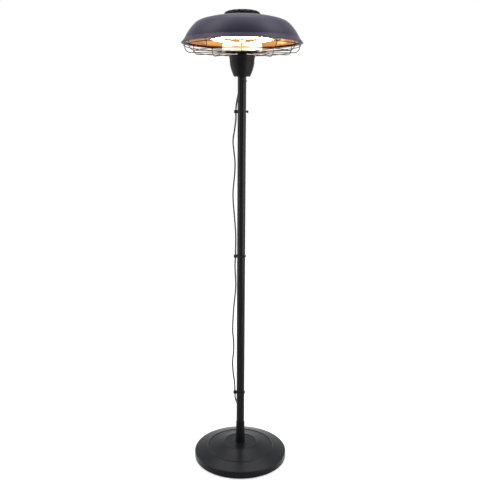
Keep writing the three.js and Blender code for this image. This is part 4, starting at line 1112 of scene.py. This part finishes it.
def make_gland(finishes):
    """The relief sleeve of the lead, ribbed where it bends."""
    x, y, tip = gland_place()
    tip += GAP
    top = high("cord_gland").z
    collar = low("neck_front").z - GAP
    ribs = []
    for k in range(GLAND_RIBS):
        z = collar - 7 - GLAND_RIB_PITCH * k
        radius = 6.6 - 1.5 * (collar - z) / (collar - tip)
        ribs += rib(radius, z, 1.0, (-2.2, -2.5, -3.9), 0.4)
    neck = GLAND_RADIUS - 1
    gland = lathed([
        (0, top, 0), (GLAND_RADIUS, top, 0.4), (GLAND_RADIUS, top - 2.5, 0.3), (neck, top - 2.5, 0),
        (neck, collar, 0), (GLAND_RADIUS, collar, 0.4), (GLAND_RADIUS, collar - 5, 1), *ribs,
        (4.8, tip, 0.4), (0, tip, 0),
    ], 40)
    gland.transform(Matrix.Translation((x, y, 0)))
    piece("lead_relief", gland, finishes["nylon"], ["cord_gland"])


def make_rivets(finishes):
    """Two small rivet heads at the front of the pole, under the neck."""
    radius = high("pole_upper").x
    rivets = []
    for z in RIVET_HEIGHTS:
        head = lathed([(0, -0.5, 0), (1.8, -0.5, 0), (1.8, 0.5, 0.5), (0, 0.9, 0)], 20)
        rivets.append((head, Matrix.Translation((0, -radius, z)) @ TO_FRONT))
    piece("spigot_rivets", joined(*rivets), finishes["pole"])


def make_knob(finishes):
    """The heat knob, with a skirt, a scalloped grip, a ridge and a printed line."""
    bottom, top = low("selector_knob"), high("selector_knob")
    back = high("neck_rear").y + GAP
    radius = top.x
    face = top.y - RIDGE_RISE - back
    turn = Matrix.Translation((0, back, (bottom.z + top.z) / 2)) @ TO_BACK
    skirt = lathed([(0, 0, 0), (radius, 0, 0.4), (radius, 2.2, 1.2), (0, 3.4, 0)], 64)
    scallops = []
    for a in angles(96):
        reach = radius - GRIP_INSET - SCALLOP_DEPTH * abs(math.sin(SCALLOPS / 2 * a))
        scallops.append((reach * math.cos(a), reach * math.sin(a)))
    grip = extruded(scallops, SKIRT_HEIGHT, face - SKIRT_HEIGHT, 0.7)
    ridge = block((3, 2 * radius - 6, 4), (0, 0, face), 0.8)
    spindle = stud(SPINDLE_RADIUS, back - bottom.y, 0, 0, 24)
    at_spindle = turn @ Matrix.Translation((0, 0, bottom.y - back))
    knob = joined((skirt, turn), (grip, turn), (ridge, turn), (spindle, at_spindle))
    piece("heat_knob", knob, finishes["abs"], ["selector_knob"], "knob")
    line = block((0.9, radius - 6, 0.3), (0, radius / 2 + 0.5, face + 2), 0.1)
    line.transform(turn)
    piece("knob_line", line, finishes["print"], body="knob")


# ------------------------------------------------------------ head

HOOD_WALL = 1.2
FLARE_WIDTH, FLARE_HEIGHT = 15.0, 18.0
SIDE, SHOULDER = 200.0, 80.0  # radii of the dome's arcs
SIDE_SLOPE, SHOULDER_SLOPE, CROWN_SLOPE = (math.radians(a) for a in (65.3, 45.0, 15.5))
DOME_STEPS = (12, 8, 12)  # stretches along each arc
EDGE_ROLL = ((-1.2, 0), (-0.3, 0.35), (-0.35, 1.2))  # points that round the rim, from its edge
LIP_WIDTH, LIP_ROUND = 20.5, 0.5
REFLECTOR_OFFSET = 7.0  # from the hood's outside
HOOD_EASE, REFLECTOR_EASE = 30.0, 26.0  # radii that round the crease over the rim
CAP_HOLE = 3.5  # radius
CAP_RIB = 2.6  # thickness of the ribs between the slots
SLOT_WIDTH = 8.0
SLOT_HEIGHT = 5.0  # from the cap's edge to the slots
CAP_BOSS = 12.0  # radius
RIBS_FROM = 51.0  # radius where the slots start
DRUM_HOLE = 9.0  # radius, and that of the centre tube's bore
PLATE_HOLE, PLATE_STEP = 14.0, 60.0  # radii of the drum's plate
DRUM_SCREWS, DRUM_SCREW_RADIUS = 4, 70.0
POST_NECK, POST_RADIUS, POST_COLLAR, POST_FOOT, POST_BORE = 8.0, 12.0, 20.0, 24.0, 3.3  # radii
LAMP_LIGHTS = 12
GLASS_RADIUS = 5.0
GLASS_START, LIT_START = 17.0, 21.0  # from a lamp's end to its glass, and to where that is widest
LAMP_END = 18.0  # length of a ceramic end


def rim_crease():
    """The crease between the hood's flare and its dome, as radius and height."""
    return Vector((high("hood").x - FLARE_WIDTH, low("hood").z + FLARE_HEIGHT))


def dome_arcs():
    """The dome above the flare, as tangent arcs: centre, radius, and its slopes from and to."""
    place = rim_crease()
    arcs = []
    slopes = ((SIDE, SIDE_SLOPE, SHOULDER_SLOPE), (SHOULDER, SHOULDER_SLOPE, CROWN_SLOPE))
    for radius, first, last in slopes:
        centre = place - radius * Vector((math.sin(first), math.cos(first)))
        place = centre + radius * Vector((math.sin(last), math.cos(last)))
        arcs.append((centre, radius, first, last))
    crown = place.x / math.sin(CROWN_SLOPE)
    return [*arcs, (Vector((0, place.y - crown * math.cos(CROWN_SLOPE))), crown, CROWN_SLOPE, 0)]


def dome(offset, bottom, hole, ease):
    """The hood's outline from its rim to a hole in its crown, moved inwards by an offset.

    The crease over the rim is rounded by the ease.
    """
    flare = math.atan2(FLARE_HEIGHT, FLARE_WIDTH)
    half = (SIDE_SLOPE - flare) / 2
    inwards = Vector((math.sin(flare + half), math.cos(flare + half)))
    crease = rim_crease() - offset / math.cos(half) * inwards
    foot = Vector((crease.x + (crease.y - bottom) / math.tan(flare), bottom))
    line = []
    for (centre, radius, first, last), count in zip(dome_arcs(), DOME_STEPS):
        last = last or math.asin(hole / (radius - offset))
        for k in range(1, count + 1):
            slope = first + (last - first) * k / count
            line.append(centre + (radius - offset) * Vector((math.sin(slope), math.cos(slope))))
    return filleted([(*foot, 0), (*crease, ease), (*line[0], 0)], 6) + line[1:]


def crown_drop(radius):
    """How far the crown has fallen at a radius."""
    crown = dome_arcs()[-1][1]
    return crown - math.sqrt(crown**2 - radius**2)


def make_hood(finishes, look):
    """The hood with its turned-in lip, and the reflector under it."""
    tree = dish_tree()
    radius, rim, _ = round_size("hood")
    hole = POST_NECK + GAP
    edge, *outside = dome(0, rim, hole, HOOD_EASE)
    inside = dome(HOOD_WALL, rim + HOOD_WALL, hole, HOOD_EASE)
    lip = [
        Vector((radius - LIP_WIDTH + x, rim + z))
        for x, z in ((0, HOOD_WALL), (-LIP_ROUND, HOOD_WALL / 2), (0, 0))
    ]
    roll = [edge + Vector(move) for move in EDGE_ROLL]
    outline = roll + outside + inside[::-1] + lip
    values = {"Segments": look.round_segments, "Finish": finishes["hood"]}
    grown("hood_shell", outline_loop(outline), tree, values, ["hood"])
    lip_top = rim + HOOD_WALL + GAP
    hole = POST_RADIUS + GAP
    outer = dome(REFLECTOR_OFFSET, lip_top, hole, REFLECTOR_EASE)
    inner = dome(REFLECTOR_OFFSET + HOOD_WALL, lip_top, hole, REFLECTOR_EASE)
    values["Finish"] = finishes["copper"]
    grown("reflector_dish", outline_loop(outer + inner[::-1]), tree, values, ["reflector"])


def make_cap(finishes, look):
    """The slotted vent cap on the crown, and the dome nut in its middle."""
    radius, edge, top = round_size("vent_cap")
    slot_bottom = edge + SLOT_HEIGHT
    rest = high("hood").z + GAP
    # Radius and height of its skin, from the bolt's hole out to the foot of the slots
    skin = [
        (CAP_HOLE, top), (50, top - 3.3), (63, top - 5.6), (71, edge + 14), (radius - 2, edge + 10),
        (radius, slot_bottom),
    ]
    curve = [(p.x, p.z) for p in through([(r, 0, z) for r, z in skin], 2.0)]

    disc_line = [(r, z) for r, z in curve if r <= RIBS_FROM + 2]
    under = [(r, z - 2.5) for r, z in reversed(disc_line)]
    disc = turned(disc_line + under, 96)
    boss_top = top - 1.5
    boss = lathed([
        (CAP_HOLE, rest, 0), (CAP_BOSS, rest, 0.5), (CAP_BOSS, boss_top, 0), (CAP_HOLE, boss_top, 0),
    ], 48)
    inner = radius - 2.5
    ring = lathed([
        (inner, edge, 0.4), (radius, edge, 0.6), (radius, slot_bottom, 0.8), (inner, slot_bottom, 0.6),
    ], 120)
    piece("vent_cap_body", joined(disc, boss, ring), finishes["abs"], ["vent_cap"])

    rings = []
    count = look.vent_slots
    for r, z in curve:
        if RIBS_FROM <= r <= radius:
            half = math.pi * r / count - SLOT_WIDTH / 2
            below = z - CAP_RIB
            rings.append([(r, -half, below), (r, half, below), (r, half, z), (r, -half, z)])
    values = {"Count": count, "First angle": math.pi / count, "Finish": finishes["abs"]}
    grown("vent_cap_ribs", lofted(rings, closed=False), round_tree(), values)

    _, bolt_bottom, bolt_top = round_size("cap_bolt")
    seat = top + GAP
    nut = lathed([
        (0, bolt_bottom, 0), (3, bolt_bottom, 0.4), (3, seat, 0), (7, seat, 0.4), (6.2, seat + 1.1, 0.8),
        (0, bolt_top, 0),
    ], 48)
    piece("cap_dome_nut", nut, finishes["abs"], ["cap_bolt"])


def make_drum(finishes):
    """The bright drum under the lamps, its plate and the centre tube."""
    radius, bottom, top = round_size("lamp_drum")
    wall = HOOD_WALL
    side = radius - 0.8
    drum = lathed([
        (radius - wall, bottom, 0.2), (radius, bottom, 0.5), (radius, bottom + 2.2, 0.4),
        (side, bottom + 3.2, 0.6), (side, top - 4, 1.5), (radius - 4.5, top, 3),
        (DRUM_HOLE, top, 0), (DRUM_HOLE, top - wall, 0), (radius - 5, top - wall, 2),
        (side - wall, top - 5, 1), (side - wall, bottom + 3, 0),
    ], 128)
    piece("drum_can", drum, finishes["bright"], ["lamp_drum"])
    radius, bottom, top = round_size("drum_plate")
    raised = bottom + 0.6
    plate = lathed([
        (PLATE_HOLE, bottom, 0), (PLATE_STEP, bottom, 1), (PLATE_STEP + 3, raised, 1),
        (radius, raised, 0.3), (radius, top, 0), (PLATE_HOLE, top, 0),
    ], 96)
    piece("drum_floor", plate, finishes["bright"], ["drum_plate"])
    sunk = bottom + 1.2
    screw = lathed([(0, sunk, 0), (2.8, sunk, 0), (2.8, bottom - 0.2, 0.8), (0, bottom - 0.6, 0)], 20)
    screw.transform(Matrix.Translation((DRUM_SCREW_RADIUS, 0, 0)))
    values = {"Count": DRUM_SCREWS, "First angle": math.pi / 4, "Finish": finishes["zinc"]}
    grown("drum_screws", screw, round_tree(), values)

    _, bottom, top = round_size("centre_tube")
    shoulder = top - HOOD_WALL - GAP - crown_drop(POST_RADIUS)
    seat = top - crown_drop(POST_COLLAR) - REFLECTOR_OFFSET - HOOD_WALL - 2 * GAP
    tube = lathed([
        (DRUM_HOLE, bottom, 0), (POST_FOOT, bottom, 0.5), (POST_FOOT, bottom + 2.5, 1),
        (POST_RADIUS, bottom + 2.5, 2), (POST_RADIUS, seat - 2.5, 1.5), (POST_COLLAR, seat - 2.5, 0.8),
        (POST_COLLAR, seat, 0.5), (POST_RADIUS, seat, 0), (POST_RADIUS, shoulder, 0.4),
        (POST_NECK, shoulder, 0), (POST_NECK, top, 0.4), (POST_BORE, top, 0), (POST_BORE, top - 20, 0),
        (DRUM_HOLE, top - 29, 0),
    ], 64)
    piece("hood_post", tube, finishes["bright"], ["centre_tube"])


def make_glow(name, place, length, power):
    """The light of one lamp, as a row of small lights in its tube."""
    for k in range(LAMP_LIGHTS):
        light = bpy.data.lights.new(f"{name}_{k}", "POINT")
        light.color = linear("#ffd9a6")[:3]
        light.energy = power / LAMP_LIGHTS
        light.shadow_soft_size = GLASS_RADIUS * MM
        obj = new_object(f"{name}_{k}", light)
        along = length * ((k + 0.5) / LAMP_LIGHTS - 0.5)
        obj.matrix_world = Matrix.Translation(place @ Vector((0, 0, along)) * MM)
        obj.visible_camera = obj.visible_glossy = False


def make_lamps(finishes, look):
    """Three lit quartz lamps with ceramic ends, in their holders and brackets."""
    bottom, top = low("lamp_front"), high("lamp_front")
    half = (top.x - bottom.x) / 2
    out = (bottom.y + top.y) / 2
    glass_end, full = half - GLASS_START, half - LIT_START
    for k, name in enumerate(("front", "right", "left")):
        place = (
            Matrix.Rotation(math.radians(120 * k), 4, "Z")
            @ Matrix.Translation((0, out, (bottom.z + top.z) / 2))
            @ Matrix.Rotation(math.radians(90), 4, "Y")
        )
        glass = lathed([
            (0, -glass_end, 0), (3, -glass_end, 0), (GLASS_RADIUS, -full, 2), (GLASS_RADIUS, full, 2),
            (3, glass_end, 0), (0, glass_end, 0),
        ], 32)
        ends = []
        for side in (-1, 1):
            cap = lathed([
                (0, 0, 0), (6.2, 0, 0.8), (6.2, 12, 0.8), (4.6, 13.5, 0.8), (4.6, LAMP_END, 0.8),
                (0, LAMP_END, 0),
            ], 32)
            flip = Matrix() if side < 0 else Matrix.Rotation(math.pi, 4, "X")
            ends.append((cap, place @ Matrix.Translation((0, 0, side * half)) @ flip))
        glass.transform(place)
        tube = piece(f"lamp_tube_{name}", glass, finishes["quartz"], [f"lamp_{name}"])
        tube.visible_shadow = False
        make_glow(f"lamp_light_{name}", place, 2 * full, look.lamp_power)
        piece(f"lamp_ends_{name}", joined(*ends), finishes["ceramic"])
    for corner in ("left", "rear", "right"):
        softened(f"lamp_holder_{corner}", finishes["ceramic"], 1.0)
        softened(f"lamp_bracket_{corner}", finishes["zinc"], 0.4)


# ------------------------------------------------------------ guard

GUARD_START = 21.6  # radius where the spokes start, at the stem
GUARD_INSET = 15.0  # of the spokes' upright ends, from the hood's rim
GUARD_BEND = 25.0
BEND_STEPS = 10
WIRE_SIDES = 14
GUARD_TURN = -91.0  # degrees, where the first spoke points
SPOKES = (34.5, 62.0, 90.0, 118.0, 145.5)  # on each side of the first spoke
MIDDLE_HOOP_INSET = 39.0  # from the spokes' upright ends
INNER_HOOP = 115.0


def make_guard(finishes, look):
    """Wire spokes from the stem to the rim, three rings, and the welds where they cross."""
    wire = look.wire_diameter / MM / 2
    plane = low("guard_spoke_0").z + wire
    reach = high("hood").x - GUARD_INSET
    path = [(GUARD_START, 0, plane), (0.5 * reach, 0, plane)]
    for k in range(BEND_STEPS + 1):
        angle = math.pi / 2 * k / BEND_STEPS
        x = reach - GUARD_BEND * (1 - math.sin(angle))
        path.append((x, 0, plane + GUARD_BEND * (1 - math.cos(angle))))
    path.append((reach, 0, low("hood").z - GAP))
    tree = spoke_tree()
    values = {f"Angle {k + 1}": math.radians(angle) for k, angle in enumerate(SPOKES)}
    values |= {"Turn": math.radians(GUARD_TURN), "Finish": finishes["wire"]}
    nodes = [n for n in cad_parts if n.startswith("guard_spoke")]
    grown("guard_wires", swept(path, wire, WIRE_SIDES), tree, values, nodes)
    half = wire + GAP / 2
    beads = []
    for name, radius, side, lift in (
        ("outer", reach + 2 * half, -half, 0),
        ("middle", reach - MIDDLE_HOOP_INSET, 0, -half),
        ("inner", INNER_HOOP, 0, half),
    ):
        node = f"guard_ring_{name}"
        z = (low(node).z + high(node).z) / 2
        section = [(radius + wire * math.cos(a), z + wire * math.sin(a)) for a in angles(WIRE_SIDES)]
        piece(f"guard_hoop_{name}", turned(section, 180), finishes["wire"], [node])
        bead = bmesh.new()
        bmesh.ops.create_icosphere(bead, subdivisions=2, radius=1.15 * wire)
        beads.append((bead, Matrix.Translation((radius + side, 0, z + lift))))
    grown("guard_welds", joined(*beads), tree, values)


# ------------------------------------------------------------ add-on


class HeaterLook(bpy.types.PropertyGroup):
    """Sizes and colours that can be changed."""

    hood_colour: FloatVectorProperty(
        name="Hood", description="Colour of the hood's coating", subtype="COLOR", size=4,
        min=0, max=1, default=linear("#443f57"),
    )
    base_colour: FloatVectorProperty(
        name="Base", description="Colour of the base cover", subtype="COLOR", size=4,
        min=0, max=1, default=linear("#1e1f24"),
    )
    guard_colour: FloatVectorProperty(
        name="Guard", description="Colour of the guard's plating", subtype="COLOR", size=4,
        min=0, max=1, default=linear("#33231b"),
    )
    reflector_colour: FloatVectorProperty(
        name="Reflector", description="Colour of the reflector", subtype="COLOR", size=4,
        min=0, max=1, default=linear("#a2552f"),
    )
    lamp_power: FloatProperty(
        name="Lamp power", description="Light of each lit lamp, in watts", min=0, default=0.8
    )
    wire_diameter: FloatProperty(
        name="Wire", description="Diameter of the guard's wire", subtype="DISTANCE", unit="LENGTH",
        min=0.001, default=0.0032,
    )
    vent_slots: IntProperty(
        name="Vent slots", description="Number of slots in the vent cap", min=6, default=18
    )
    round_segments: IntProperty(
        name="Segments", description="Facets round the hood", min=24, default=144
    )
    daylight: FloatProperty(
        name="Daylight", description="Level of the even light on the object", min=0, default=0.14
    )


FINISHES = {}


def finishes_of(context):
    """The finishes, made once from the look's colours."""
    if not FINISHES:
        FINISHES.update(make_finishes(context.scene.heater_look))
    return FINISHES


class HEATER_OT_stage(bpy.types.Operator):
    """Set up the camera, the floor and the studio light"""

    bl_idname = "heater.stage"
    bl_label = "Stage"
    bl_options = {"REGISTER", "UNDO"}

    def execute(self, context):
        make_camera()
        make_world(context.scene.heater_look.daylight)
        make_floor()
        make_sky(strength=1.6, width=50)
        for name, box in SOFTBOXES.items():
            make_softbox(name, *box)
        for name, box in SHEEN_BOXES.items():
            make_softbox(name, *box, sheen_only=True)
        context.scene.view_settings.view_transform = "Standard"
        return {"FINISHED"}


class HEATER_OT_lead(bpy.types.Operator):
    """Make the power lead with its hank, strap and plug"""

    bl_idname = "heater.lead"
    bl_label = "Power lead"
    bl_options = {"REGISTER", "UNDO"}

    def execute(self, context):
        make_lead(finishes_of(context))
        return {"FINISHED"}


class HEATER_OT_base(bpy.types.Operator):
    """Make the weighted base"""

    bl_idname = "heater.base"
    bl_label = "Base"
    bl_options = {"REGISTER", "UNDO"}

    def execute(self, context):
        make_base(finishes_of(context))
        return {"FINISHED"}


class HEATER_OT_pole(bpy.types.Operator):
    """Make the socket and the tubes of the pole"""

    bl_idname = "heater.pole"
    bl_label = "Pole"
    bl_options = {"REGISTER", "UNDO"}

    def execute(self, context):
        make_pole(finishes_of(context))
        return {"FINISHED"}


class HEATER_OT_clips(bpy.types.Operator):
    """Make the clips that hold the lead"""

    bl_idname = "heater.clips"
    bl_label = "Lead clips"
    bl_options = {"REGISTER", "UNDO"}

    def execute(self, context):
        make_clips(finishes_of(context))
        return {"FINISHED"}


class HEATER_OT_neck(bpy.types.Operator):
    """Make the neck with its switch gear and relief sleeve"""

    bl_idname = "heater.neck"
    bl_label = "Neck"
    bl_options = {"REGISTER", "UNDO"}

    def execute(self, context):
        make_neck(finishes_of(context))
        return {"FINISHED"}


class HEATER_OT_knob(bpy.types.Operator):
    """Make the heat knob"""

    bl_idname = "heater.knob"
    bl_label = "Heat knob"
    bl_options = {"REGISTER", "UNDO"}

    def execute(self, context):
        make_knob(finishes_of(context))
        return {"FINISHED"}


class HEATER_OT_drum(bpy.types.Operator):
    """Make the drum and the post that carries the hood"""

    bl_idname = "heater.drum"
    bl_label = "Drum"
    bl_options = {"REGISTER", "UNDO"}

    def execute(self, context):
        make_drum(finishes_of(context))
        return {"FINISHED"}


class HEATER_OT_lamps(bpy.types.Operator):
    """Make the lit lamps with their holders"""

    bl_idname = "heater.lamps"
    bl_label = "Lamps"
    bl_options = {"REGISTER", "UNDO"}

    def execute(self, context):
        make_lamps(finishes_of(context), context.scene.heater_look)
        return {"FINISHED"}


class HEATER_OT_hood(bpy.types.Operator):
    """Make the hood and the reflector"""

    bl_idname = "heater.hood"
    bl_label = "Hood"
    bl_options = {"REGISTER", "UNDO"}

    def execute(self, context):
        make_hood(finishes_of(context), context.scene.heater_look)
        return {"FINISHED"}


class HEATER_OT_cap(bpy.types.Operator):
    """Make the vent cap"""

    bl_idname = "heater.cap"
    bl_label = "Vent cap"
    bl_options = {"REGISTER", "UNDO"}

    def execute(self, context):
        make_cap(finishes_of(context), context.scene.heater_look)
        return {"FINISHED"}


class HEATER_OT_guard(bpy.types.Operator):
    """Make the wire guard"""

    bl_idname = "heater.guard"
    bl_label = "Wire guard"
    bl_options = {"REGISTER", "UNDO"}

    def execute(self, context):
        make_guard(finishes_of(context), context.scene.heater_look)
        return {"FINISHED"}


OPERATORS = (
    HEATER_OT_stage, HEATER_OT_lead, HEATER_OT_base, HEATER_OT_pole, HEATER_OT_clips,
    HEATER_OT_neck, HEATER_OT_knob, HEATER_OT_drum, HEATER_OT_lamps, HEATER_OT_hood,
    HEATER_OT_cap, HEATER_OT_guard,
)


class HEATER_PT_panel(bpy.types.Panel):
    """The heater's look and its pieces, in the sidebar"""

    bl_label = "Patio heater"
    bl_space_type = "VIEW_3D"
    bl_region_type = "UI"
    bl_category = "Heater"

    def draw(self, context):
        look = context.scene.heater_look
        for name in look.bl_rna.properties.keys():
            if name not in {"rna_type", "name"}:
                self.layout.prop(look, name)
        for operator in OPERATORS:
            self.layout.operator(operator.bl_idname)


CLASSES = (HeaterLook, *OPERATORS, HEATER_PT_panel)


def register():
    for cls in CLASSES:
        bpy.utils.register_class(cls)
    bpy.types.Scene.heater_look = PointerProperty(type=HeaterLook)


def unregister():
    del bpy.types.Scene.heater_look
    for cls in reversed(CLASSES):
        bpy.utils.unregister_class(cls)


def main():
    register()
    for operator in OPERATORS:
        group, name = operator.bl_idname.split(".")
        getattr(getattr(bpy.ops, group), name)()


if __name__ == "__main__":
    main()
